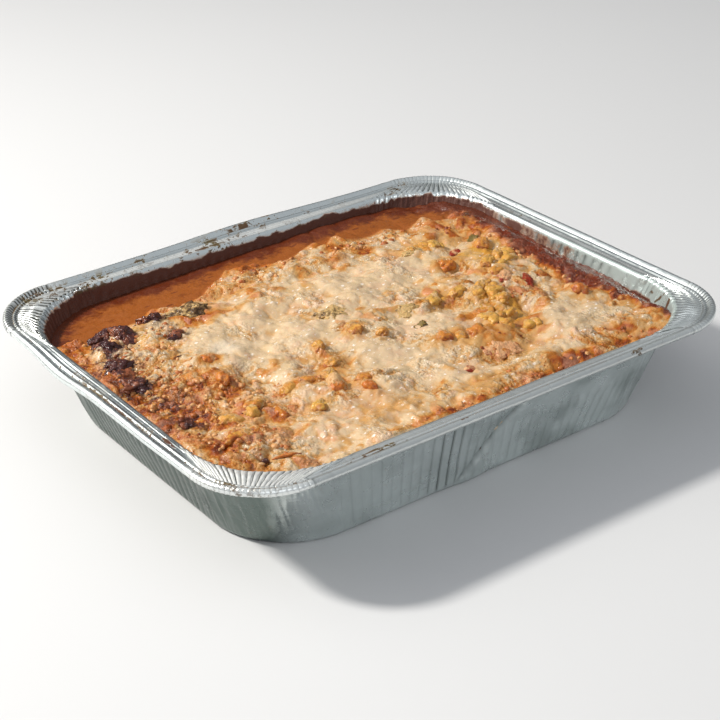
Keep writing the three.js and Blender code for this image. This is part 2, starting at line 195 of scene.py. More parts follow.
def tone(red: int, green: int, blue: int) -> tuple[float, float, float, float]:
    """Colour as a screen shows it, turned into the shader's linear values.

    Args:
        red: Red, from 0 to 255.
        green: Green, from 0 to 255.
        blue: Blue, from 0 to 255.

    Returns:
        The linear colour, opaque.
    """
    def linear(value: int) -> float:
        """One channel as a linear value."""
        share = value / 255
        return share / 12.92 if share <= 0.04045 else ((share + 0.055) / 1.055) ** 2.4
    return (linear(red), linear(green), linear(blue), 1.0)


@dataclass
class Shape:
    """Corners, faces and the per-corner values of a mesh in the making."""

    corners: list[Array] = field(default_factory=list)
    quads: list[Array] = field(default_factory=list)
    triangles: list[Array] = field(default_factory=list)
    values: dict[str, list[Array]] = field(default_factory=dict)
    count: int = 0

    def add(self, corners: Array, quads: Array | None = None,
            triangles: Array | None = None, **values: Array) -> int:
        """Add corners with their faces and values.

        Args:
            corners: Places of the corners, in millimetres.
            quads: Four-cornered faces, counted from the first new corner.
            triangles: Three-cornered faces, counted the same way.
            **values: A value for each new corner, by name.

        Returns:
            The number of the first new corner.
        """
        start = self.count
        self.corners.append(np.asarray(corners, float).reshape(-1, 3))
        if quads is not None:
            self.quads.append(np.asarray(quads, int).reshape(-1, 4) + start)
        if triangles is not None:
            self.triangles.append(np.asarray(triangles, int).reshape(-1, 3) + start)
        self.count += len(self.corners[-1])
        for name, value in values.items():
            self.values.setdefault(name, []).append(np.broadcast_to(value, self.count - start))
        return start

    def build(self, name: str, material: Material) -> Object:
        """Make the object.

        Args:
            name: The object's name.
            material: Its finish.

        Returns:
            The new object, smooth shaded.
        """
        corners = np.concatenate(self.corners) * MM
        quads = np.concatenate(self.quads) if self.quads else np.zeros((0, 4), int)
        triangles = np.concatenate(self.triangles) if self.triangles else np.zeros((0, 3), int)
        loops = np.concatenate([quads.ravel(), triangles.ravel()])
        starts = np.concatenate([np.arange(len(quads)) * 4,
                                 len(quads) * 4 + np.arange(len(triangles)) * 3])
        mesh = bpy.data.meshes.new(name)
        mesh.vertices.add(len(corners))
        mesh.vertices.foreach_set("co", corners.astype(np.float32).ravel())
        mesh.loops.add(len(loops))
        mesh.loops.foreach_set("vertex_index", loops.astype(np.int32))
        mesh.polygons.add(len(starts))
        mesh.polygons.foreach_set("loop_start", starts.astype(np.int32))
        mesh.update(calc_edges=True)
        mesh.validate()
        for key, parts in self.values.items():
            layer = mesh.attributes.new(key, "FLOAT", "POINT")
            layer.data.foreach_set("value", np.concatenate(parts).astype(np.float32))
        mesh.polygons.foreach_set("use_smooth", np.ones(len(mesh.polygons), bool))
        mesh.materials.append(material)
        piece = bpy.data.objects.new(name, mesh)
        bpy.context.scene.collection.objects.link(piece)
        return piece


def grid_quads(rows: int, columns: int, closed: bool = False) -> Array:
    """Faces of a grid of corners.

    Args:
        rows: Number of rows of corners.
        columns: Number of corners in a row.
        closed: Whether the last column joins the first.

    Returns:
        One row of four corners for each face.
    """
    steps = columns if closed else columns - 1
    i, j = np.meshgrid(np.arange(rows - 1), np.arange(steps), indexing="ij")
    here, above = i * columns, (i + 1) * columns
    k = (j + 1) % columns
    return np.stack([here + j, here + k, above + k, above + j], -1)


def grid_rim(rows: int, columns: int) -> Array:
    """Numbers of the corners round the edge of a grid, in order."""
    index = np.arange(rows * columns).reshape(rows, columns)
    return np.concatenate([index[0, :-1], index[:-1, -1], index[-1, :0:-1], index[:0:-1, 0]])


def ball(detail: int) -> Pair:
    """Ball of radius 1, evenly divided.

    Args:
        detail: How often its faces are divided.

    Returns:
        Its corners and triangles.
    """
    shape = bmesh.new()
    bmesh.ops.create_icosphere(shape, subdivisions=detail, radius=1.0)
    corners = np.array([v.co[:] for v in shape.verts])
    triangles = np.array([[v.index for v in f.verts] for f in shape.faces])
    shape.free()
    return corners, triangles


def settle(piece: Object, slot: str, *nodes: str) -> None:
    """Put a piece on the body, hide the solids that it stands for, and log its faces.

    Args:
        piece: The piece.
        slot: Not used.
        *nodes: The solids that it replaces.
    """
    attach(piece, BODY)
    if nodes:
        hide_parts(*nodes)
    LOG.info("%s: %d faces", piece.name, len(piece.data.polygons))


# The tray's form

class Side(Enum):
    """Sides of the tray, in the order in which a ring passes them."""

    FRONT = 0
    RIGHT = 1
    BACK = 2
    LEFT = 3


@dataclass(frozen=True)
class Section:
    """Rounded rectangle: half sizes and corner radius."""

    half_x: float
    half_y: float
    radius: float

    def inset(self, distance: float) -> "Section":
        """The same section moved in by a distance."""
        return Section(self.half_x - distance, self.half_y - distance, self.radius - distance)


@dataclass(frozen=True)
class Bend:
    """Place where the rim's outer edge is bent up or down."""

    x: float
    y: float
    reach: float
    lift: float


@dataclass(frozen=True)
class Dent:
    """Place where a wall stands out or in."""

    side: Side
    along: float
    up: float
    reach: float
    rise: float
    out: float


@dataclass(frozen=True)
class TrayForm:
    """Sizes of the pressed tray, and the form that follows from them."""

    rim: Section = Section(162.0, 132.0, 41.0)
    rim_top: float = 57.5
    base: Section = Section(131.5, 103.0, 46.0)
    lip: Section = Section(149.2, 118.4, 50.0)
    lip_height: float = 54.5
    foil: float = 0.5
    flute_depth: float = 1.0
    flutes_long: int = 30
    flutes_short: int = 20
    flute_foot: float = 4.0
    flute_head: float = 46.0
    crushed_from: float = 8.0
    crushed_head: float = 27.0
    bead_radius: float = 2.15
    crimps: int = 24
    columns_per_wave: int = 6
    deep_at: float = -26.0
    deep_reach: float = 9.0
    crease_depth: float = 2.6
    crease_width: float = 2.2
    bends: tuple[Bend, ...] = (
        Bend(-162, 40, 24, -4.4), Bend(-162, -30, 44, -1.5), Bend(10, 132, 52, 2.3),
    )
    dents: tuple[Dent, ...] = (
        Dent(Side.FRONT, 20, 26, 34, 16, -2.4), Dent(Side.FRONT, -8, 4, 12, 9, 1.6),
        Dent(Side.LEFT, 6, 24, 34, 13, 1.8), Dent(Side.BACK, 60, 26, 40, 18, -1.2),
    )

    def turns(self) -> Array:
        """Places of the columns along a ring.

        Returns:
            Two units for each side: the first along it, the second round its corner.
        """
        parts = []
        for side in Side:
            flutes = self.flutes_short if side in (Side.RIGHT, Side.LEFT) else self.flutes_long
            straight = self.columns_per_wave * flutes
            parts.append(2 * side.value + np.arange(straight) / straight)
            corner = self.columns_per_wave * self.crimps
            parts.append(2 * side.value + 1 + np.arange(corner) / corner)
        return np.concatenate(parts)

    def wall(self, z: float) -> Section:
        """Section of the wall's outer face.

        Args:
            z: Height.

        Returns:
            The section, between that of the base and that of the lip.
        """
        low, high, t = self.base, self.lip, z / self.lip_height
        return Section(low.half_x + (high.half_x - low.half_x) * t,
                       low.half_y + (high.half_y - low.half_y) * t,
                       low.radius + (high.radius - low.radius) * t)

    def ring(self, section: Section, turn: Array) -> Pair:
        """Points round a section.

        Args:
            section: The rounded rectangle.
            turn: Places along the ring.

        Returns:
            The points and the outward directions, two numbers each.
        """
        side = np.floor(turn / 2).astype(int) % 4
        in_corner = np.floor(turn).astype(int) % 2 == 1
        t = turn - np.floor(turn)
        angle = (side - 1) * math.pi / 2
        normal = np.stack([np.cos(angle), np.sin(angle)], -1)
        cx, cy = section.half_x - section.radius, section.half_y - section.radius
        hubs = np.array([[cx, -cy], [cx, cy], [-cx, cy], [-cx, -cy]])
        before, after = hubs[(side + 3) % 4], hubs[side]
        straight = before + (after - before) * t[:, None] + normal * section.radius
        bent = angle + t * math.pi / 2
        spoke = np.stack([np.cos(bent), np.sin(bent)], -1)
        points = np.where(in_corner[:, None], after + spoke * section.radius, straight)
        return points, np.where(in_corner[:, None], spoke, normal)

    def corner_share(self, turn: Array) -> Array:
        """1 in the corners, falling to 0 just past their ends."""
        away = np.abs((turn - 0.5) % 2 - 1)
        return ease(1 - np.maximum(away - 0.5, 0) * 14)

    def flute(self, turn: Array, along_x: Array, z: float) -> Array:
        """How far the upright flutes push the wall out.

        Args:
            turn: Places along the ring.
            along_x: The same places along X, which tell the crushed end of the front wall.
            z: Height.

        Returns:
            Distance at each place.
        """
        side = np.floor(turn / 2).astype(int) % 4
        straight = np.floor(turn).astype(int) % 2 == 0
        t = turn - np.floor(turn)
        number = np.where(side % 2 == 1, self.flutes_short, self.flutes_long)
        wave = 2 * np.abs(np.sin(math.pi * number * t)) ** 0.75 - 1
        ends = ease(t * number * 1.4) * ease((1 - t) * number * 1.4)
        own = 0.75 + 0.25 * draw(np.floor(t * number), side, 5)
        deep = 1.1 * bell(along_x - self.deep_at, self.deep_reach)
        own = own * (1 + np.where(side == 0, deep, 0))
        foot = ease((z - 1.5) / (self.flute_foot - 1.5))
        crushed = (side == 0) & (along_x > self.crushed_from)
        head = np.where(crushed, self.crushed_head, self.flute_head)
        head = head + 2.0 * draw(np.floor(t * number), side, 6)
        fade = foot * ease((head + 3 - z) / 4)
        return np.where(straight, 0.5 * self.flute_depth * wave * ends * own * fade, 0.0)

    def dent(self, turn: Array, points: Array, z: float) -> Array:
        """How far the dents and the front wall's crease push the wall out.

        Args:
            turn: Places along the ring.
            points: The same places in plan.
            z: Height.

        Returns:
            Distance at each place.
        """
        side = np.floor(turn / 2).astype(int) % 4
        t = turn - np.floor(turn)
        straight = np.floor(turn).astype(int) % 2 == 0
        out = np.zeros(turn.shape)
        for dent in self.dents:
            along = points[:, 1] if dent.side in (Side.LEFT, Side.RIGHT) else points[:, 0]
            hit = bell(along - dent.along, dent.reach) * bell(z - dent.up, dent.rise)
            out += np.where(side == dent.side.value, dent.out * hit, 0.0)
        creased = self.crease_depth * self.crease(points, z, self.crease_width)
        out -= np.where(side == 0, creased, 0.0)
        return np.where(straight, out * ease(t * 6) * ease((1 - t) * 6), 0.0)

    def crease(self, points: Array, z: float, reach: float) -> Array:
        """How near each place is to the slanting crease of the front wall.

        Args:
            points: Places in plan.
            z: Height.
            reach: How wide the crease is.

        Returns:
            From 0 away from it to 1 in it.
        """
        away = np.abs((points[:, 0] + 17) * 0.72 - (z - 2) * 0.69)
        ends = ease((points[:, 0] + 24) / 8) * ease((30 - points[:, 0]) / 10)
        return np.exp(-away / reach) * ends * ease(z / 6) * ease((50 - z) / 8)

    def crumple(self, turn: Array, z: float) -> Array:
        """Shallow upright creases in the corners, and faint waves elsewhere.

        Args:
            turn: Places along the ring.
            z: Height.

        Returns:
            How far they push the wall out.
        """
        corner = self.corner_share(turn)
        folds = np.abs(noise(turn * 40 + 0.09 * z, np.full(turn.shape, z * 0.05), 1.0, 41))
        waves = layered(turn * 60, np.full(turn.shape, z * 0.9), 9.0, 43)
        crushed = span(turn, 0.55, 0.1, 1.1, 0.1) * ease((z - 22) / 8)
        uneven = noise(turn * 263 + 0.6 * z, turn * 40 + 1.4 * z, 15.0, 45)
        pressed = crushed * ease((49 - z) / 8) * 1.6 * uneven
        faint = (0.16 + 0.6 * crushed) * waves
        return ease(z / 10) * (corner * (0.5 - 1.1 * folds) * 0.9 + faint + pressed)

    def rim_lift(self, points: Array, share: Array | float) -> Array:
        """How far the bends lift the rim.

        Args:
            points: Places in plan.
            share: 1 at the outer edge and 0 at the lip.

        Returns:
            Lift at each place.
        """
        total = np.zeros(len(points))
        for bend in self.bends:
            away = np.hypot(points[:, 0] - bend.x, points[:, 1] - bend.y)
            total += bend.lift * bell(away, bend.reach)
        return total * share

    def crimp(self, turn: Array) -> Array:
        """Radial folds of the corner flange, from -1 to 1, sharp in their valleys."""
        depth = 0.6 + 1.3 * self.fold_depth(turn)
        return self.corner_share(turn) * (0.5 - depth * self.valley(turn) ** 2.5)

    def valley(self, turn: Array) -> Array:
        """1 in the valley between two corner folds and 0 on their crests."""
        return 1 - np.abs(np.sin(math.pi * self.crimps * turn))

    def fold_depth(self, turn: Array) -> Array:
        """How deep each corner fold is, deepest at the back left corner.

        Args:
            turn: Places along the ring.

        Returns:
            Depth at each place.
        """
        own = draw(np.round(self.crimps * turn), 0, 52)
        torn = self.back_left(turn)
        return 0.75 * (0.2 + 0.8 * own) * (1 - torn) + 1.6 * torn * ease((own - 0.34) / 0.1)

    def back_left(self, turn: Array) -> Array:
        """1 in the back left corner, where the folds are deepest, and 0 elsewhere."""
        return span(turn, 4.9, 0.2, 6.1, 0.2)

    def wall_row(self, turn: Array, z: float, moved_in: float) -> Array:
        """Row of corners on the wall.

        Args:
            turn: Places along the ring.
            z: Height.
            moved_in: Distance from the wall's outer face to the inside.

        Returns:
            Three numbers for each corner.
        """
        points, normal = self.ring(self.wall(z).inset(moved_in), turn)
        push = self.flute(turn, points[:, 0], z) + self.dent(turn, points, z)
        push = push + self.crumple(turn, z) + 0.35 * self.crimp(turn) * ease((z - 44) / 9)
        places = points + normal * push[:, None]
        return np.column_stack([places, np.full(len(turn), z)])

    def rim_row(self, turn: Array, moved_in: float, z: float, crimped: float) -> Array:
        """Row of corners on the rolled rim.

        Args:
            turn: Places along the ring.
            moved_in: Distance from the rim's outer edge to the inside.
            z: Height before the rim's bends.
            crimped: How high the corner crimps stand.

        Returns:
            Three numbers for each corner.
        """
        points, normal = self.ring(self.rim.inset(moved_in), turn)
        share = 1 - moved_in / (self.rim.half_x - self.lip.half_x)
        lift = self.rim_lift(points, share) + 0.22 * layered(turn * 40, turn * 0, 8.0, 61) * share
        lift = lift + crimped * self.crimp(turn)
        wave = 0.25 * layered(turn * 30, turn * 0 + 9, 7.0, 63) - 0.3
        places = points + normal * np.minimum(wave, 0)[:, None]
        return np.column_stack([places, z + lift])


# Shader nodes

class Graph:
    """Short hand for wiring nodes in a tree."""

    def __init__(self, tree: NodeTree,
                 material: Material | None = None) -> None:
        """Keep the tree, and the material that it belongs to."""
        self.tree = tree
        self.material = material

    def add(self, kind: str, settings: dict | None = None, **inputs: object) -> Node:
        """Add a node.

        Args:
            kind: The node's type.
            settings: Its own properties, by name.
            **inputs: Values or sockets for its inputs, with underscores for spaces.

        Returns:
            The new node.
        """
        node = self.tree.nodes.new(kind)
        for key, value in (settings or {}).items():
            setattr(node, key, value)
        self.feed_all(node, **inputs)
        return node

    def feed(self, node: Node, name: str | int, value: object) -> None:
        """Set or link one input of a node.

        Args:
            node: The node.
            name: The input's name or number.
            value: A value, or the socket that it is linked to.
        """
        socket = node.inputs[name]
        if isinstance(value, Socket):
            self.tree.links.new(value, socket)
        else:
            socket.default_value = value

    def feed_all(self, node: Node, **inputs: object) -> None:
        """Set or link several inputs of a node, with underscores for the spaces in their names."""
        for key, value in inputs.items():
            self.feed(node, key.replace("_", " "), value)

    def math(self, operation: str, a: object, b: object, clamp: bool = False) -> Socket:
        """Work out one number from two.

        Args:
            operation: How, in the words of the Math node.
            a: First number or socket.
            b: Second number or socket.
            clamp: Whether the result is kept between 0 and 1.

        Returns:
            The result.
        """
        node = self.add("ShaderNodeMath", {"operation": operation, "use_clamp": clamp})
        self.feed(node, 0, a)
        self.feed(node, 1, b)
        return node.outputs[0]

    def plus(self, a: object, b: object, clamp: bool = False) -> Socket:
        """Sum of two numbers or sockets."""
        return self.math("ADD", a, b, clamp)

    def times(self, a: object, b: object, clamp: bool = False) -> Socket:
        """Product of two numbers or sockets."""
        return self.math("MULTIPLY", a, b, clamp)

    def larger(self, a: object, b: object, clamp: bool = False) -> Socket:
        """Larger of two numbers or sockets."""
        return self.math("MAXIMUM", a, b, clamp)

    def swing(self, mask: object, most: object) -> Socket:
        """A mask's swing to both sides of its middle, times an amount."""
        return self.times(self.math("SUBTRACT", mask, 0.5), most)

    def mix(self, share: object, a: object, b: object) -> Socket:
        """Colour between two.

        Args:
            share: How much of the second there is.
            a: First colour.
            b: Second colour.

        Returns:
            The colour.
        """
        node = self.add("ShaderNodeMix", {"data_type": "RGBA"})
        self.feed(node, 0, share)
        self.feed(node, 6, a)
        self.feed(node, 7, b)
        return node.outputs[2]

    def band(self, value: object, low: float, high: float) -> Socket:
        """Smooth step from 0 to 1.

        Args:
            value: What it is read from.
            low: Where it is still 0.
            high: Where it has come to 1.

        Returns:
            The step.
        """
        node = self.add("ShaderNodeMapRange", {"interpolation_type": "SMOOTHSTEP"}, Value=value)
        self.feed(node, 1, low)
        self.feed(node, 2, high)
        return node.outputs[0]

    def cloud(self, place: object, scale: object, **inputs: float) -> Socket:
        """Cloudy noise."""
        return self.add("ShaderNodeTexNoise", Vector=place, Scale=scale, **inputs).outputs["Fac"]

    def value(self, name: str) -> Socket:
        """A per-corner value of the mesh."""
        return self.add("ShaderNodeAttribute", {"attribute_name": name}).outputs["Fac"]

    def place(self) -> Socket:
        """The place on the object, in metres."""
        return self.add("ShaderNodeTexCoord").outputs["Object"]


class Effect(Enum):
    """Effects that several finishes share."""

    MOTTLE = "mottle"
    CRUMB = "crumb_grain"
    SPECKS = "specks"
    CRINKLE = "foil_crinkle"


class Effects:
    """Shader node groups, each built once."""

    def __init__(self) -> None:
        """Build every group."""
        self.groups = {
            Effect.MOTTLE: self._mottle(),
            Effect.CRUMB: self._crumb(),
            Effect.SPECKS: self._specks(),
            Effect.CRINKLE: self._crinkle(),
        }

    @staticmethod
    def _start(effect: Effect, output: str,
               **inputs: float) -> tuple[Graph, bpy.types.bpy_prop_collection, Node]:
        """New group with a place, named numbers and one output.

        Args:
            effect: Which effect.
            output: The output's name.
            **inputs: Its numbers, by name.

        Returns:
            The graph, what comes in by name, and the node that takes the output.
        """
        tree = bpy.data.node_groups.new(effect.value, "ShaderNodeTree")
        tree.interface.new_socket("Place", in_out="INPUT", socket_type="NodeSocketVector")
        for name, value in inputs.items():
            socket = tree.interface.new_socket(name, in_out="INPUT", socket_type="NodeSocketFloat")
            socket.default_value = value
        tree.interface.new_socket(output, in_out="OUTPUT", socket_type="NodeSocketFloat")
        graph = Graph(tree)
        return graph, graph.add("NodeGroupInput").outputs, graph.add("NodeGroupOutput")

    def _mottle(self) -> NodeTree:
        """Soft uneven patches.

        Returns:
            The group.
        """
        graph, given, end = self._start(Effect.MOTTLE, "Mask", Scale=100.0, Contrast=1.0)
        cloud = graph.cloud(given["Place"], given["Scale"],
                            Detail=6.0, Roughness=0.62, Distortion=0.6)
        spread = graph.swing(cloud, graph.times(given["Contrast"], 3.0))
        graph.feed(end, 0, graph.plus(spread, 0.5, clamp=True))
        return graph.tree

    def _crumb(self) -> NodeTree:
        """Fine lumps and pits, as a height.

        Returns:
            The group.
        """
        graph, given, end = self._start(Effect.CRUMB, "Height", Scale=700.0, Pits=0.4)
        cells = graph.add("ShaderNodeTexVoronoi", Vector=given["Place"], Scale=given["Scale"])
        cloud = graph.cloud(given["Place"], graph.times(given["Scale"], 0.7),
                            Detail=5.0, Roughness=0.6)
        pits = graph.times(cells.outputs["Distance"], given["Pits"])
        graph.feed(end, 0, graph.math("SUBTRACT", cloud, pits))
        return graph.tree

    def _specks(self) -> NodeTree:
        """Scattered specks of uneven size, as a mask.

        Returns:
            The group.
        """
        graph, given, end = self._start(Effect.SPECKS, "Mask", Scale=200.0, Amount=0.3)
        wobble = graph.cloud(given["Place"], graph.times(given["Scale"], 2.5), Detail=3.0)
        cells = graph.add("ShaderNodeTexVoronoi", Vector=given["Place"], Scale=given["Scale"])
        size = graph.add("ShaderNodeSeparateColor", Color=cells.outputs["Color"])
        reach = graph.times(graph.math("POWER", size.outputs[0], 3.0), given["Amount"])
        edge = graph.plus(cells.outputs["Distance"], graph.swing(wobble, 0.35))
        graph.feed(end, 0, graph.band(graph.math("SUBTRACT", reach, edge), -0.03, 0.03))
        return graph.tree

    def _crinkle(self) -> NodeTree:
        """Fine creases of handled foil, as a height.

        Returns:
            The group.
        """
        graph, given, end = self._start(Effect.CRINKLE, "Height", Scale=100.0)
        bent = graph.cloud(given["Place"], graph.times(given["Scale"], 0.6), Detail=3.0)
        cells = graph.add("ShaderNodeTexVoronoi", {"feature": "DISTANCE_TO_EDGE"},
                          Vector=given["Place"], Scale=given["Scale"])
        lines = graph.band(cells.outputs["Distance"], 0.0, 0.16)
        grain = graph.cloud(given["Place"], graph.times(given["Scale"], 9.0), Detail=2.0)
        height = graph.plus(graph.times(lines, 0.35), bent)
        graph.feed(end, 0, graph.plus(height, graph.times(grain, 0.12)))
        return graph.tree

    def put(self, graph: Graph, effect: Effect, place: object, **inputs: float) -> Socket:
        """Output of an effect that is placed in a material with its own values."""
        settings = {"node_tree": self.groups[effect]}
        return graph.add("ShaderNodeGroup", settings, Place=place, **inputs).outputs[0]


def new_material(name: str) -> tuple[Graph, Node]:
    """Empty material with its main shader.

    Args:
        name: The material's name.

    Returns:
        The graph and the Principled node.
    """
    material = bpy.data.materials.new(name)
    material.use_nodes = True
    material.node_tree.nodes.clear()
    graph = Graph(material.node_tree, material)
    shader = graph.add("ShaderNodeBsdfPrincipled")
    graph.add("ShaderNodeOutputMaterial", Surface=shader.outputs["BSDF"])
    return graph, shader


@dataclass(frozen=True)
class FoilFinish:
    """Pressed foil, with painted shade, painted reflections and painted highlights, scorched sauce
    darkened with painted shade, and baked-on specks.
    """

    bright: tuple = tone(234, 241, 240)
    # Painted shade: a dim foil colour that stands for dark reflections and shade on the walls.
    painted_dimming: tuple = tone(108, 119, 115)
    # Painted reflection: a pale, partly non-metallic colour that stands for a brighter reflection.
    reflection_tint: tuple = tone(176, 190, 185)
    # Painted highlight: a whitish colour that stands for bright reflections on the rim.
    painted_sheen: tuple = tone(236, 236, 232)
    shade: tuple = tone(54, 56, 50)
    # Burnt sauce on the inner wall, its darkness partly painted shade.
    scorch_and_shade: tuple = tone(84, 44, 30)
    amber: tuple = tone(140, 88, 44)
    olive: tuple = tone(92, 80, 46)

    def build(self, effects: Effects) -> Material:
        """Make the material from the mesh's values: scorch with painted shade, grime, and painted
        shade, reflection, highlight and lines.

        Args:
            effects: Shared effects.

        Returns:
            The material.
        """
        graph, shader = new_material("foil")
        place = graph.place()
        patches = effects.put(graph, Effect.MOTTLE, place, Scale=45.0, Contrast=0.8)
        streaks = effects.put(graph, Effect.MOTTLE, place, Scale=260.0, Contrast=1.1)
        # Painted shade: the foil is darkened towards the dim colour by a per-corner share, in
        # uneven patches.
        uneven = graph.plus(0.76, graph.times(patches, 0.24))
        dimming_share = graph.times(graph.value("painted_dimming"), uneven, clamp=True)
        # Painted reflection: pale colour mixed in, unevenly, where the foil should look brighter.
        reflection_share = graph.times(graph.value("reflection_tint"), graph.plus(0.6, graph.times(patches, 0.4)))
        # Painted highlight: whitish sheen painted onto the rim's corners and back.
        painted_sheen = graph.value("painted_sheen")
        metal = graph.mix(dimming_share, self.bright, self.painted_dimming)
        metal = graph.mix(reflection_share, metal, self.reflection_tint)
        metal = graph.mix(painted_sheen, metal, self.painted_sheen)
        # Painted shade: dark lines in the valleys of folds, flutes and grooves, under the rim and
        # over the left wall.
        metal = graph.mix(graph.value("line"), metal, self.shade)
        # Burnt sauce on the inner wall, darkened further with painted shade.
        burnt = graph.plus(graph.value("scorch_and_shade"), graph.swing(streaks, 0.4))
        scorched = graph.band(burnt, 0.45, 0.7)
        stained = graph.band(burnt, 0.12, 0.5)
        grime = graph.value("grime")
        specks = effects.put(graph, Effect.SPECKS, place, Scale=330.0, Amount=0.42)
        small = effects.put(graph, Effect.SPECKS, place, Scale=760.0, Amount=0.62)
        smudge = graph.band(graph.plus(streaks, graph.times(patches, 0.7)), 1.05, 1.2)
        spots = graph.times(graph.larger(specks, small), graph.band(patches, 0.45, 0.65))
        dots = graph.times(graph.larger(spots, smudge), graph.band(grime, 0.15, 0.5))
        line = graph.band(graph.plus(grime, graph.times(streaks, 0.5)), 0.95, 1.2)
        dirt = graph.larger(dots, line, clamp=True)
        colour = graph.mix(graph.times(stained, 0.75), metal, self.amber)
        colour = graph.mix(scorched, colour, self.scorch_and_shade)
        colour = graph.mix(dirt, colour, graph.mix(patches, self.scorch_and_shade, self.olive))
        covered = graph.larger(scorched, dirt, clamp=True)
        coated = covered
        for layer, share in ((stained, 0.8), (reflection_share, 0.75), (painted_sheen, 0.7)):
            coated = graph.larger(coated, graph.times(layer, share))
        rough = graph.plus(0.24, graph.times(patches, 0.1))
        crinkle = effects.put(graph, Effect.CRINKLE, place, Scale=110.0)
        bump = graph.add("ShaderNodeBump", Height=crinkle, Strength=0.35, Distance=0.0005)
        crust = effects.put(graph, Effect.CRUMB, place, Scale=1200.0, Pits=0.5)
        raised = graph.add("ShaderNodeBump", Height=graph.times(crust, covered),
                           Normal=bump.outputs[0], Strength=0.5, Distance=0.0004)
        graph.feed_all(shader, Base_Color=colour, Normal=raised.outputs[0],
                       Metallic=graph.math("SUBTRACT", 1.0, graph.times(coated, 0.95)),
                       Roughness=graph.plus(rough, graph.times(covered, 0.25)))
        return graph.material


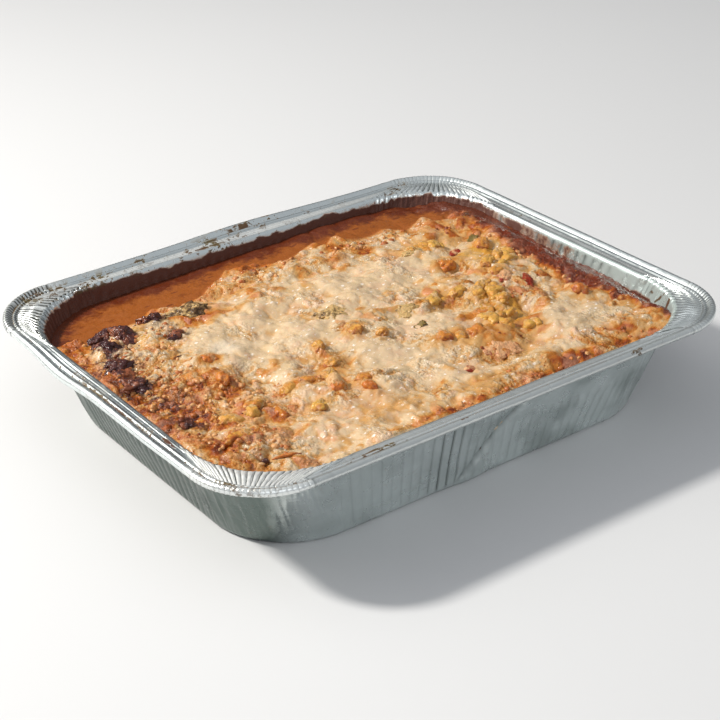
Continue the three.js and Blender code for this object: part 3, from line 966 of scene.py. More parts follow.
@dataclass(frozen=True)
class BakeFinish:
    """Set cream sauce with melted cheese, browned unevenly."""

    browning: tuple = (
        (0.0, tone(220, 198, 167)), (0.22, tone(205, 178, 142)), (0.42, tone(194, 146, 88)),
        (0.64, tone(176, 106, 34)), (0.86, tone(150, 70, 12)), (1.12, tone(100, 36, 4)),
        (1.45, tone(58, 16, 4)),
    )
    blush: tuple = tone(206, 150, 120)
    yellow: tuple = tone(196, 144, 50)
    olive: tuple = tone(178, 146, 88)
    white: tuple = tone(214, 203, 184)
    # Painted highlight: a near-white colour for glints.
    painted_glint: tuple = tone(250, 240, 230)
    orange: tuple = tone(178, 98, 30)
    sauce: tuple = tone(142, 75, 16)
    sauce_dark: tuple = tone(92, 36, 8)
    crust: tuple = tone(120, 42, 4)
    char: tuple = tone(60, 30, 28)

    def build(self, effects: Effects) -> Material:
        """Make the material from the mesh's values for each kind of browning.

        Args:
            effects: Shared effects.

        Returns:
            The material.
        """
        graph, shader = new_material("bake")
        place = graph.place()
        wide = effects.put(graph, Effect.MOTTLE, place, Scale=70.0, Contrast=1.0)
        streak = effects.put(graph, Effect.MOTTLE, place, Scale=210.0, Contrast=1.4)
        fine = effects.put(graph, Effect.MOTTLE, place, Scale=560.0, Contrast=1.3)
        sauce = graph.value("sauce")
        hollow_oil_and_shade = graph.value("hollow_oil_and_shade")
        curdled = graph.value("curdled")
        loose = graph.plus(graph.swing(fine, 0.22), graph.swing(streak, 0.26))
        loose = graph.times(loose, graph.plus(0.16, graph.times(curdled, 0.7)))
        # Darker roast in the top's hollows, deeper where curdled: oil gathered there, and painted
        # shade.
        deepened = graph.plus(0.1, graph.times(curdled, 0.2))
        roast = graph.plus(graph.value("roast"), loose)
        roast = graph.plus(roast, graph.times(hollow_oil_and_shade, deepened))
        colour = self.browning[0][1]
        for (before, _), (level, shade) in zip(self.browning, self.browning[1:]):
            colour = graph.mix(graph.band(roast, before, level), colour, shade)

        def tinted(name: str, shade: tuple, most: float, low: float, high: float) -> Socket:
            """The colour, tinted where the named value is high, with the edge broken up."""
            share = graph.band(graph.plus(graph.value(name), loose), low, high)
            return graph.mix(graph.times(share, most), colour, shade)

        colour = tinted("pink", self.blush, 0.3, 0.2, 0.8)
        colour = tinted("yellow", self.yellow, 0.75, 0.2, 0.8)
        colour = graph.mix(graph.times(graph.band(wide, 0.6, 0.85), 0.18), colour, self.olive)
        colour = graph.mix(graph.times(graph.band(wide, 0.4, 0.15), 0.22), colour, self.blush)
        colour = tinted("cream", self.white, 0.5, 0.85, 1.2)
        colour = tinted("glaze", self.orange, 0.55, 0.2, 0.9)
        crusted = graph.plus(graph.value("crust"), graph.times(hollow_oil_and_shade, 0.3))
        crust = graph.band(graph.plus(crusted, loose), 0.2, 0.9)
        dark = graph.mix(streak, self.crust, self.sauce_dark)
        colour = graph.mix(graph.times(crust, 0.85), colour, dark)
        # Painted shadow: the sauce darkens towards the wall, where this value falls.
        cloudy = graph.plus(graph.swing(wide, 0.5), graph.swing(streak, 0.4))
        out_of_wall_shadow = graph.band(graph.plus(graph.value("out_of_wall_shadow"), cloudy), 0.1, 0.9)
        smooth = graph.mix(out_of_wall_shadow, self.sauce_dark, self.sauce)

        def slanted(turn: float, squeeze: float, scale: float, amount: float) -> Socket:
            """Specks drawn out along a slanting line."""
            across = graph.add("ShaderNodeMapping", Vector=place, Rotation=(0, 0, turn),
                               Scale=(1.0, squeeze, 1.0)).outputs[0]
            return effects.put(graph, Effect.SPECKS, across, Scale=scale, Amount=amount)

        marks = slanted(0.5, 3.2, 110.0, 0.34)
        smooth = graph.mix(graph.times(marks, 0.7), smooth, self.sauce_dark)
        # Painted highlight: near-white flecks that stand for glints on the sauce.
        glint_flecks = graph.times(slanted(0.6, 1.7, 330.0, 0.42), graph.band(roast, 0.62, 0.3))
        glint_flecks = graph.times(glint_flecks, graph.band(fine, 0.35, 0.6))
        colour = graph.mix(graph.times(glint_flecks, 0.75), colour, self.painted_glint)
        colour = graph.mix(sauce, colour, smooth)
        char = graph.band(graph.plus(graph.value("char"), graph.times(loose, 1.5)), 0.3, 0.72)
        colour = graph.mix(graph.times(char, 0.94), colour, self.char)
        rough = graph.plus(0.1, graph.times(streak, 0.36))
        rough = graph.plus(rough, graph.times(crust, 0.06))
        grain = effects.put(graph, Effect.CRUMB, place, Scale=620.0, Pits=0.5)
        ripple = graph.swing(streak, graph.times(curdled, 0.5))
        ragged = graph.plus(0.14, graph.times(curdled, 0.8))
        bump = graph.add("ShaderNodeBump", Height=graph.times(graph.plus(grain, ripple), ragged),
                         Strength=1.0, Distance=0.0014)
        graph.feed_all(shader, Base_Color=colour, Normal=bump.outputs[0],
                       Roughness=graph.plus(rough, graph.times(sauce, 0.22)),
                       Subsurface_Weight=0.05, Subsurface_Radius=(1.0, 0.45, 0.2),
                       Subsurface_Scale=0.0012, Specular_IOR_Level=0.34,
                       Coat_Weight=0.05, Coat_Roughness=0.08)
        return graph.material


@dataclass(frozen=True)
class FoodFinish:
    """Finish of a kind of food piece: two tones, a browned tone, gloss and grain."""

    name: str
    main: tuple
    second: tuple
    browned: tuple
    roughness: float = 0.38
    coat: float = 0.25
    subsurface: float = 0.12
    patch_scale: float = 260.0
    grain_scale: float = 900.0
    grain: float = 0.0007

    def build(self, effects: Effects) -> Material:
        """Make the material, browned by the mesh's toast value and tinted by its tint value.

        Args:
            effects: Shared effects.

        Returns:
            The material.
        """
        graph, shader = new_material(self.name)
        place = graph.place()
        patches = effects.put(graph, Effect.MOTTLE, place, Scale=self.patch_scale, Contrast=1.2)
        own = graph.times(graph.value("tint"), 0.5)
        tint = graph.plus(graph.times(patches, 0.6), own, clamp=True)
        toast = graph.plus(graph.value("toast"), graph.swing(patches, 0.5))
        colour = graph.mix(tint, self.main, self.second)
        colour = graph.mix(graph.band(toast, 0.35, 0.9), colour, self.browned)
        grain = effects.put(graph, Effect.CRUMB, place, Scale=self.grain_scale, Pits=0.5)
        bump = graph.add("ShaderNodeBump", Height=grain, Strength=0.7, Distance=self.grain)
        graph.feed_all(shader, Base_Color=colour, Normal=bump.outputs[0],
                       Roughness=graph.plus(self.roughness - 0.08, graph.times(patches, 0.18)),
                       Subsurface_Weight=self.subsurface, Subsurface_Radius=(1.0, 0.45, 0.2),
                       Subsurface_Scale=0.002, Specular_IOR_Level=0.3,
                       Coat_Weight=self.coat, Coat_Roughness=0.12)
        return graph.material


@dataclass(frozen=True)
class PastaFinish:
    """Cooked pasta, golden where it is bare and cream where the sauce clings to it."""

    bare: tuple = tone(206, 158, 74)
    deep: tuple = tone(190, 104, 34)
    browned: tuple = tone(134, 54, 12)
    sauce: tuple = tone(212, 174, 124)

    def build(self, effects: Effects) -> Material:
        """Make the material from the mesh's toast, tint and coated values.

        Args:
            effects: Shared effects.

        Returns:
            The material.
        """
        graph, shader = new_material("pasta")
        place = graph.place()
        patches = effects.put(graph, Effect.MOTTLE, place, Scale=330.0, Contrast=1.4)
        fine = effects.put(graph, Effect.MOTTLE, place, Scale=800.0, Contrast=1.3)
        loose = graph.swing(patches, 0.4)
        orange = graph.plus(graph.value("tint"), loose, clamp=True)
        toast = graph.band(graph.plus(graph.value("toast"), loose), 0.35, 0.95)
        cling = graph.plus(graph.value("coated"), graph.swing(fine, 0.4))
        coated = graph.band(graph.plus(cling, loose), 0.2, 0.8)
        colour = graph.mix(orange, self.bare, self.deep)
        colour = graph.mix(toast, colour, self.browned)
        colour = graph.mix(graph.times(coated, 0.9), colour, self.sauce)
        grain = effects.put(graph, Effect.CRUMB, place, Scale=520.0, Pits=0.5)
        bump = graph.add("ShaderNodeBump", Height=graph.plus(grain, graph.times(coated, 0.6)),
                         Strength=0.8, Distance=0.0009)
        graph.feed_all(shader, Base_Color=colour, Normal=bump.outputs[0],
                       Roughness=graph.plus(0.14, graph.times(patches, 0.25)),
                       Subsurface_Weight=0.1, Subsurface_Radius=(1.0, 0.5, 0.2),
                       Subsurface_Scale=0.0015, Specular_IOR_Level=0.35,
                       Coat_Weight=0.05, Coat_Roughness=0.1)
        return graph.material


CHARRED = FoodFinish("charred_ham", tone(80, 40, 35), tone(52, 29, 35), tone(144, 82, 52),
                     roughness=0.22, subsurface=0.02, patch_scale=420.0,
                     grain=0.0018, grain_scale=520.0)
HAM = FoodFinish("ham", tone(212, 170, 126), tone(208, 152, 106), tone(140, 42, 16),
                 roughness=0.3, coat=0.1)
CHEESE = FoodFinish("blue_cheese", tone(210, 174, 118), tone(162, 132, 80), tone(84, 60, 36),
                    roughness=0.3, coat=0.05, patch_scale=420.0, grain=0.0009)
HERB = FoodFinish("herb", tone(132, 110, 54), tone(98, 80, 38), tone(76, 56, 28),
                  roughness=0.45, coat=0.0)
CURD = FoodFinish("cheese_curd", tone(218, 174, 122), tone(198, 132, 72), tone(166, 92, 40),
                  roughness=0.4)
GOLDEN_CRUMB = FoodFinish("golden_crumb", tone(196, 124, 58), tone(172, 92, 38), tone(120, 54, 20))
BURNT = FoodFinish("burnt_crumb", tone(84, 40, 24), tone(56, 30, 28), tone(120, 58, 30),
                   roughness=0.36, coat=0.35, subsurface=0.02)


# The tray

@dataclass(frozen=True)
class Blot:
    """Soft oval patch on the bake, or stain on the rim, as seen from above."""

    x: float
    y: float
    reach_x: float
    reach_y: float
    strength: float = 1.0


def blots(*rows: tuple[float, ...]) -> tuple[Blot, ...]:
    """Patches from the numbers of each."""
    return tuple(Blot(*row) for row in rows)


def blotted(blots: Iterable[Blot], x: Array, y: Array) -> Array:
    """Strongest patch at each place.

    Args:
        blots: The patches.
        x: Places along X.
        y: Places along Y.

    Returns:
        From 0 away from them to their strength in their middle.
    """
    total = np.zeros(np.shape(x))
    for blot in blots:
        away = ((x - blot.x) / blot.reach_x) ** 2 + ((y - blot.y) / blot.reach_y) ** 2
        total = np.maximum(total, blot.strength * np.exp(-away))
    return total


@dataclass(frozen=True)
class Drip:
    """Run of sauce down the inner wall, from an upper place along the ring to a lower one."""

    high_turn: float
    high: float
    low_turn: float
    low: float
    strength: float
    width: float = 0.017

    def share(self, turn: Array, z: float) -> Array:
        """How much of the sauce lies on a row.

        Args:
            turn: Places along the ring.
            z: The row's height.

        Returns:
            From 0 beside the run to its strength in its middle.
        """
        down = (self.high - z) / (self.high - self.low)
        middle = self.high_turn + (self.low_turn - self.high_turn) * down
        across = bell(turn - middle, self.width)
        return self.strength * across * ease(down * 6) * ease((1 - down) * 6)


class Stretch(Enum):
    """Stretches of foil that a ring passes from the base to the bottom inside."""

    BASE = "base"
    OUTER = "outer wall"
    UNDER = "under the rim"
    BEAD = "bead"
    GROOVE = "groove"
    RIDGE = "ridge"
    FLANGE = "flange"
    LIP = "lip"
    INNER = "inner wall"


@dataclass
class FoilTray:
    """The pressed foil tray, as one thin sheet with both of its faces."""

    form: TrayForm = field(default_factory=TrayForm)
    bead_steps: int = 11
    crimp_height: float = 1.2
    line_height: float = 0.2
    marks: tuple[Blot, ...] = blots(
        (-32.5, -129.8, 5.0, 0.9, 1.0), (80.5, -130.2, 4.8, 1.5, 1.3),
        (-82.0, -124.2, 11.0, 1.4, 1.25), (-7.0, 131.0, 5.0, 1.6, 0.8),
        (6.0, 128.0, 9.0, 2.0, 0.8), (26.0, 130.0, 8.0, 1.6, 0.7), (-62.0, 127.0, 7.0, 2.0, 0.7),
        (-100.0, 122.0, 12.0, 2.2, 0.7), (-20.0, 121.0, 14.0, 1.8, 0.8),
        (-158.0, -20.0, 1.4, 6.0, 0.8), (-154.0, 30.0, 1.2, 9.0, 0.7),
        (-153.0, -58.0, 1.2, 10.0, 0.8), (118.0, 120.0, 8.0, 2.0, 0.6),
        (152.0, 40.0, 1.4, 10.0, 0.5),
    )
    drips: tuple[Drip, ...] = (
        Drip(1.75, 54.6, 1.83, 44.5, 1.3), Drip(1.67, 55.0, 1.645, 46.0, 1.4),
        Drip(1.905, 50.6, 1.9, 48.8, 1.1),
    )
    base_rows: tuple = ((30, 0.35), (14, 0.35), (11, 0.0), (2.6, 0.0))
    foot_rows: tuple = ((1.3, 0.25), (0.5, 0.9), (0.12, 1.8))
    outer_heights: tuple = (
        3, 4.2, 6, 9, 12, 15, 18, 21, 24, 27, 30, 33, 36, 39, 42, 44.5, 47, 49.5, 52,
    )
    groove_rows: tuple = (
        (4.35, 55.75, 0.2), (4.9, 55.35, 0.1), (5.4, 55.6, 0.15), (5.9, 56.1, 0.2),
        (6.5, 56.0, 0.2), (7.0, 55.4, 0.15), (7.5, 55.15, 0.2),
    )
    lip_rows: tuple = ((54.75, -0.6), (54.35, 0.05), (53.7, 0.4), (52.8, 0.5))
    inner_heights: tuple = (51.6, 50.4, 49.2, 48, 47, 46, 45, 44, 43, 42, 41, 40, 39)
    hidden_heights: tuple = (36, 30, 22, 14, 6)
    sauce_lines: tuple = (
        (7.62, 0.2, 0.75), (0.16, 0.06, 0.9), (0.5, 0.03, 0.8), (5.5, 0.35, 0.9), (6.5, 0.3, 0.5),
    )
    bead_start: float = -35.0
    bead_sweep: float = 254.2
    flange_steps: int = 8

    def rows(self, turn: Array) -> tuple[list[Array], list[Stretch]]:
        """Rows of corners from the base, up outside, over the rim and down inside.

        Args:
            turn: Places of the columns.

        Returns:
            The rows, and the stretch of foil that each lies on.
        """
        form = self.form
        rows: list[Array] = []
        kinds: list[Stretch] = []

        def put(kind: Stretch, row: Array) -> None:
            """Keep a row."""
            rows.append(row)
            kinds.append(kind)

        for moved_in, z in self.base_rows:
            put(Stretch.BASE, form.wall_row(turn, 0, moved_in) + [0, 0, z])
        for moved_in, z in self.foot_rows:
            put(Stretch.OUTER, form.wall_row(turn, z, moved_in))
        for z in self.outer_heights:
            put(Stretch.OUTER, form.wall_row(turn, z, 0))
        put(Stretch.OUTER, form.wall_row(turn, 53.3, -0.15))
        under = form.rim_row(turn, 4.6, 54.0, 0.25)
        start = form.wall_row(turn, 53.9, -1.0)
        for share in (0.0, 0.35, 0.7, 1.0):
            put(Stretch.UNDER, start + (under - start) * share)
        radius = form.bead_radius
        centre = form.rim_top - radius
        for step in range(self.bead_steps):
            angle = math.radians(self.bead_start - self.bead_sweep * step / (self.bead_steps - 1))
            moved_in, z = radius + radius * math.cos(angle), centre + radius * math.sin(angle)
            put(Stretch.BEAD, form.rim_row(turn, moved_in, z, 0.22))
        for moved_in, z, crimped in self.groove_rows:
            kind = Stretch.GROOVE if crimped < 0.2 else Stretch.RIDGE
            put(kind, form.rim_row(turn, moved_in, z, crimped))
        edge = form.rim_row(turn, 8.1, 55.1, 0.5)
        lip = form.wall_row(turn, form.lip_height, -1.5)
        lip[:, 2] += 0.45 + self.crimp_height * 0.7 * form.crimp(turn)
        for share in np.linspace(0.0, 1.0, self.flange_steps + 1):
            row = edge + (lip - edge) * share
            row[:, 2] += self.crimp_height * math.sin(math.pi * share) * form.crimp(turn)
            row[:, 2] += self.line_height * math.sin(4 * math.pi * share)
            put(Stretch.FLANGE, row)
        for z, moved_in in self.lip_rows:
            put(Stretch.LIP, form.wall_row(turn, z, moved_in))
        for z in self.inner_heights:
            put(Stretch.INNER, form.wall_row(turn, z, form.foil))
        for z in self.hidden_heights:
            put(Stretch.INNER, form.wall_row(turn, z, 3 * form.foil))
        put(Stretch.INNER, form.wall_row(turn, 1.2, 1.2))
        return rows, kinds

    def scorch_and_shade(self, turn: Array, row: Array) -> Array:
        """How burnt and shaded the inner wall is: burnt sauce with painted shade, dark on the back
        wall, fading along the right one.

        Args:
            turn: Places of the columns.
            row: The row's corners.

        Returns:
            A share for each corner.
        """
        y, z = row[:, 1], row[:, 2]
        ragged = 1.9 * layered(turn * 60, z * 0, 9.0, 71) + 0.9 * noise(turn * 60, z * 0, 1.6, 73)
        back = span(turn, 3.2, 0.35, 6.3, 0.3)
        front = ease((turn - 6.3) / 0.2) + ease((1.6 - turn) / 0.3)
        top = 53.7 + ragged - 2.0 * front - 1.5 * ease((2.6 - turn) / 0.3)
        burnt = ease((top - z) / 2.2)
        right = span(turn, 1.9, 0.1, 3.6, 0.3) * ease((y + 26) / 30)
        streaky = 0.6 * layered(turn * 110, z * 0.3, 5.0, 75)
        on_right = right * (0.52 + 0.4 * ease((y - 30) / 60) + streaky)
        low = span(turn, 1.2, 0.3, 3.6, 0.3)
        low = low * ease((45.6 + 0.8 * ragged - z) / 1.6)
        return np.clip(burnt * (back + front * 0.6 + on_right) + low, 0, 1)

    def grime(self, kind: Stretch, turn: Array, row: Array) -> Array:
        """How much dirt has gathered: specks on the rim and lines of sauce in its grooves.

        Args:
            kind: The stretch of foil.
            turn: Places of the columns.
            row: The row's corners.

        Returns:
            A share for each corner.
        """
        patches = 0.5 + 0.5 * layered(turn * 30, row[:, 2] * 0, 11.0, 81)
        base = {Stretch.FLANGE: 0.3, Stretch.GROOVE: 0.6, Stretch.RIDGE: 0.34,
                Stretch.BEAD: 0.26, Stretch.LIP: 0.4}.get(kind, 0.05)
        left_and_back = ease((turn - 3.4) / 0.5) * (1 - 0.4 * ease((turn - 7.6) / 0.3))
        value = base * (0.35 + 0.75 * left_and_back) * (0.2 + 1.4 * patches)
        if kind is Stretch.FLANGE:
            value = value * (1 - 0.9 * self.form.corner_share(turn) * bell(turn - 7.5, 0.6))
        if kind not in (Stretch.OUTER, Stretch.BASE, Stretch.INNER, Stretch.UNDER):
            value = value + blotted(self.marks, row[:, 0], row[:, 1])
        if kind in (Stretch.INNER, Stretch.LIP):
            value = value + sum(drip.share(turn, float(row[0, 2])) for drip in self.drips)
        if kind is Stretch.GROOVE:
            for place, reach, amount in self.sauce_lines:
                value = value + 0.8 * amount * bell(turn - place, reach)
        if kind is Stretch.OUTER:
            value = value + 0.5 * bell(turn - 7.6, 0.25) * ease((row[:, 2] - 40) / 8)
        return np.clip(value, 0, 1)

    def painted_dimming_share(self, kind: Stretch, turn: Array, row: Array) -> Array:
        """Painted shade: how far the foil is dimmed, most on the left wall and its corners, least
        on the rim.

        Args:
            kind: The stretch of foil.
            turn: Places of the columns.
            row: The row's corners.

        Returns:
            A share for each corner.
        """
        if kind not in (Stretch.OUTER, Stretch.BASE, Stretch.UNDER):
            # Painted shade: the front of the bead and the flange's front right corner are dimmed,
            # and the inner wall more so.
            front = 0.4 * ease((1.1 - turn) / 0.2) * (kind is Stretch.BEAD)
            shade_amount = 0.5 * bell(turn - 1.62, 0.32) * (kind is Stretch.FLANGE)
            return (0.45 if kind is Stretch.INNER else 0.06) + front + shade_amount
        # Painted shade: most on the left wall, in soft patches strongest on the crushed front
        # right, and under the rim.
        left = span(turn, 4.5, 1.0, 7.8, 0.45)
        clouds = layered(row[:, 0] + 0.7 * row[:, 1], 1.5 * row[:, 2] + 0.2 * row[:, 0], 17.0, 89)
        dimming_mottle = 0.14 + 0.26 * clouds * (1 + 1.8 * ease((turn - 0.4) / 0.2) * (turn < 1.5))
        below = 0.7 if kind is Stretch.UNDER else 0.0
        return np.clip(dimming_mottle + below + 1.25 * left, 0, 1.3)

    def painted_reflection(self, kind: Stretch, turn: Array) -> Array:
        """Painted reflection: how much pale colour stands in for a bright reflection, inside the
        right wall and outside at the front.

        Args:
            kind: The stretch of foil.
            turn: Places of the columns.

        Returns:
            A share for each corner.
        """
        if kind is Stretch.OUTER:
            past_corner = (turn + 4) % 8 - 4
            front = 0.18 + 0.16 * ease((past_corner - 0.3) / 0.5)
            front = front * ease((past_corner + 0.2) / 0.3) * (turn < 1.6)
            return 0.24 * bell(past_corner + 0.08, 0.2) + front
        if kind not in (Stretch.INNER, Stretch.LIP):
            return np.zeros(len(turn))
        return 0.9 * span(turn, 1.0, 0.4, 2.75, 0.3)

    def painted_sheen_share(self, kind: Stretch, turn: Array, number: int) -> Array:
        """Painted highlight: how white the foil is painted, at the corners, along the back and at
        the front right.

        Args:
            kind: The stretch of foil.
            turn: Places of the columns.
            number: The row's number.

        Returns:
            A share for each corner.
        """
        form = self.form
        if kind not in (Stretch.FLANGE, Stretch.RIDGE, Stretch.GROOVE, Stretch.BEAD):
            return np.zeros(len(turn))
        on_flange = kind is Stretch.FLANGE
        left = 0.25 + 0.75 * ease((turn - 4.2) / 0.4)
        folded = form.corner_share(turn) * (0.9 if on_flange else 0.5) * left
        folded = folded * (1 - 0.4 * form.back_left(turn))
        painted_sheen = np.maximum(folded, 0.32 * ease((1.4 - turn) / 0.4))
        if on_flange:
            painted_sheen = np.maximum(painted_sheen, 0.7 * span(turn, 3.8, 0.4, 5.6, 0.3))
        if on_flange and number % 2 == 0:
            painted_sheen = np.maximum(painted_sheen, 0.8 * span(turn, 1.8, 0.2, 3.3, 0.2))
        return painted_sheen

    def lines(self, kind: Stretch, turn: Array, row: Array, number: int) -> Array:
        """Painted shade: dark lines in the valleys of folds and flutes, along the rim's grooves, in
        the front wall's crease, under the rim and over the left wall.

        Args:
            kind: The stretch of foil.
            turn: Places of the columns.
            row: The row's corners.
            number: The row's number.

        Returns:
            How dark each corner's line is.
        """
        form = self.form
        sharpness = 4 - 2.7 * form.back_left(turn)
        folds = form.corner_share(turn) * form.fold_depth(turn) * form.valley(turn) ** sharpness
        if kind is Stretch.OUTER:
            z = float(row[0, 2])
            own = 0.15 + 0.3 * draw(np.floor(turn * form.flutes_long + 0.5), 3, 87)
            own = own + 0.8 * (turn < 1) * bell(row[:, 0] - form.deep_at, form.deep_reach)
            own = own + 0.5 * ease((turn - 5.9) / 0.2)
            folded = 0.3 * folds * ease((z - 34) / 14)
            creased = 0.4 * (turn < 1) * form.crease(row, z, form.crease_width / 2)
            left = 0.14 * span(turn, 5.9, 0.2, 7.2, 0.2)
            fluted = np.clip(-form.flute(turn, row[:, 0], z) - 0.1, 0, 1) * own
            return np.clip(fluted + folded + creased + left, 0, 1)
        if kind is Stretch.UNDER:
            return np.full(len(turn), 0.35)
        if kind is Stretch.INNER:
            fluted = np.clip(form.flute(turn, row[:, 0], float(row[0, 2])) - 0.2, 0, 1)
            own = 0.5 + 0.4 * draw(np.floor(turn * form.flutes_short + 0.5), 5, 88)
            stripes = (1 - np.abs(np.sin(math.pi * form.flutes_short * turn))) ** 1.2
            stripes = stripes * span(turn, 2.12, 0.15, 3.0, 0.1) * own
            return np.clip(0.6 * fluted + stripes, 0, 1)
        shade_amount = 0.6 + 0.4 * layered(turn * 50, turn * 0 + number, 6.0, 85)
        on_right = span(turn, 1.9, 0.2, 3.2, 0.2)
        if kind is Stretch.FLANGE:
            grooved = (0.5 + 0.6 * on_right) * shade_amount * (1 - form.corner_share(turn)) * (number % 2)
            return np.clip((1.8 + bell(turn - 1.6, 0.35)) * folds + grooved, 0, 1)
        if kind in (Stretch.BEAD, Stretch.RIDGE, Stretch.GROOVE):
            across = 0.5 + 0.7 * form.back_left(turn)
            grooved = (0.5 + 0.3 * on_right) * shade_amount * (kind is Stretch.GROOVE)
            return np.clip(folds * across + grooved, 0, 1)
        return np.zeros(len(turn))

    def build(self, effects: Effects) -> Object:
        """Make the tray.

        Args:
            effects: Shared effects.

        Returns:
            The tray.
        """
        turn = self.form.turns()
        rows, kinds = self.rows(turn)
        columns = len(turn)
        # The foil's values: scorch with painted shade, grime, and painted shade, reflection,
        # highlight and lines, in that order.
        names = ("scorch_and_shade", "grime", "painted_dimming", "reflection_tint", "painted_sheen", "line")
        values: dict[str, list[Array]] = {name: [] for name in names}
        for number, (row, kind) in enumerate(zip(rows, kinds)):
            inside = kind in (Stretch.INNER, Stretch.LIP)
            scorch_and_shade = self.scorch_and_shade(turn, row) if inside else np.zeros(columns)
            parts = (scorch_and_shade, self.grime(kind, turn, row), self.painted_dimming_share(kind, turn, row),
                     self.painted_reflection(kind, turn), self.painted_sheen_share(kind, turn, number),
                     self.lines(kind, turn, row, number))
            for name, part in zip(names, parts):
                values[name].append(np.broadcast_to(part, columns))
        shape = Shape()
        shape.add(np.concatenate(rows), grid_quads(len(rows), columns, closed=True),
                  **{name: np.concatenate(parts) for name, parts in values.items()})
        plain = {name: float(name == "painted_dimming") for name in names}
        for row, z, down in ((0, 0.35, True), (len(rows) - 1, 0.75, False)):
            ring = row * columns + np.arange(columns)
            after = row * columns + (np.arange(columns) + 1) % columns
            middle = shape.add([[0, 0, z]], **plain)
            fan = [after, ring] if down else [ring, after]
            shape.triangles.append(np.column_stack([np.full(columns, middle), *fan]))
        tray = shape.build("foil_tray", FoilFinish().build(effects))
        settle(tray, "foil", "tray")
        return tray


# The bake

@dataclass(frozen=True)
class Piece:
    """Place and size of a piece that lies on the bake, its heading in degrees."""

    x: float
    y: float
    length: float
    width: float
    height: float
    heading: float
    brown: float = 0.35


@dataclass(frozen=True)
class Tube:
    """Piece of pasta: place, heading in degrees and size, and how sunk, browned and orange."""

    x: float
    y: float
    heading: float
    length: float
    radius: float
    sunk: float
    brown: float
    warmth: float


CHARRED_HAM = (
    Piece(-121, 69, 11, 9, 7, 20), Piece(-112, 61, 9, 11, 7, 0, 0.45),
    Piece(-126, 51, 10, 14, 7, 20, 0.45), Piece(-131, 33, 12, 11, 7, 35, 0.4),
    Piece(-134, 20, 9, 10, 6, 0, 0.6), Piece(-134, 7, 12, 12, 7, 10, 0.4),
    Piece(-131, -14, 7, 9, 5, 0, 0.6), Piece(-91, 66, 10, 9, 7, 0),
    Piece(-132, -42, 7, 10, 5, 10, 0.5), Piece(-88, 45, 8, 6, 5, 20, 0.65),
)
PINK_HAM = (
    Piece(39, -73, 19, 10, 3.2, -25, -0.1), Piece(102, -22, 15, 6, 3.4, 50, 1.0),
    Piece(94, -11, 13, 7, 3, 45, 0.35), Piece(12, -80, 7, 5, 2.6, 20, 0.7),
    Piece(95, 34, 7, 5, 2.8, 30, 0.6),
)
BLUE_CHEESE = (
    Piece(-68, 63, 22, 13, 6, -10, 0.75), Piece(-10, 12, 14, 12, 5, 30, 0.42),
    Piece(26, -10, 12, 11, 5, 10, 0.42), Piece(76, 50, 19, 8, 5, 15, -0.2),
)
HERBS = (Piece(116, 43, 11, 5, 0.9, 25), Piece(20, -29, 8, 5, 0.9, -20))
SHOWING_PASTA = (
    (-48, -42, 75, 12, 7.5), (-39, -31, 20, 8, 6), (-55, -57, 60, 13, 8), (-38, -57, 10, 10, 6.5),
    (-71, -65, 15, 10, 7), (-42, -66, 80, 10, 5), (-74, -42, 10, 8, 6), (-62, -41, -10, 8, 5),
    (-92, 7, 15, 9, 6), (-108, -8, 85, 11, 6), (-97, -14, 80, 13, 6), (-97, -45, 30, 12, 7),
    (-115, -50, -20, 10, 6), (-120, -71, 8, 16, 6), (-90, -58, 80, 13, 6), (-37, -15, 70, 8, 6),
    (-12, -12, 60, 10, 7), (-2, -25, 20, 7, 5), (44, -9, 15, 13, 8), (61, -9, 5, 11, 6),
    (81, 24, 10, 13, 8), (90, 47, 75, 10, 7), (97, 8, 50, 12, 7), (92, -5, 15, 10, 7),
    (54, -37, -10, 12, 6), (20, -50, -20, 8, 7), (29, -52, 60, 8, 6), (38, -55, 10, 10, 7),
    (115, -47, 85, 13, 7), (111, 30, 70, 10, 7),
)
CLUSTERS = (
    (73, -24, 7, 12, 10, 2.7), (61, -48, 9, 9, 10, 2.7), (70, -62, 4, 3, 2, 2.8),
    (104, 10, 14, 12, 7, 2.7), (84, 48, 10, 8, 4, 2.6), (-102, -36, 9, 20, 3, 2.8),
)


def pasta_pieces() -> list[Tube]:
    """Every piece of pasta that shows.

    Returns:
        The single ones, then the smaller ones of each cluster.
    """
    pieces = []
    for number, (x, y, heading, length, width) in enumerate(SHOWING_PASTA):
        sunk = 0.72 + 0.12 * float(draw(number, 0, 92))
        pieces.append(Tube(x, y, heading, 1.25 * length, 0.6 * width, sunk, 0.56, 1.0))
    for group, (x, y, reach_x, reach_y, count, radius) in enumerate(CLUSTERS):
        for number in range(count):
            pick = [float(draw(number, group, 141 + k)) for k in range(6)]
            away, turn = math.sqrt(pick[0]), 2 * math.pi * pick[1]
            pieces.append(Tube(x + reach_x * away * math.cos(turn),
                               y + reach_y * away * math.sin(turn), 180 * pick[2],
                               8 + 4 * pick[3], radius * (0.9 + 0.3 * pick[4]),
                               0.58 + 0.2 * pick[5], 0.16, 0.4))
    return pieces


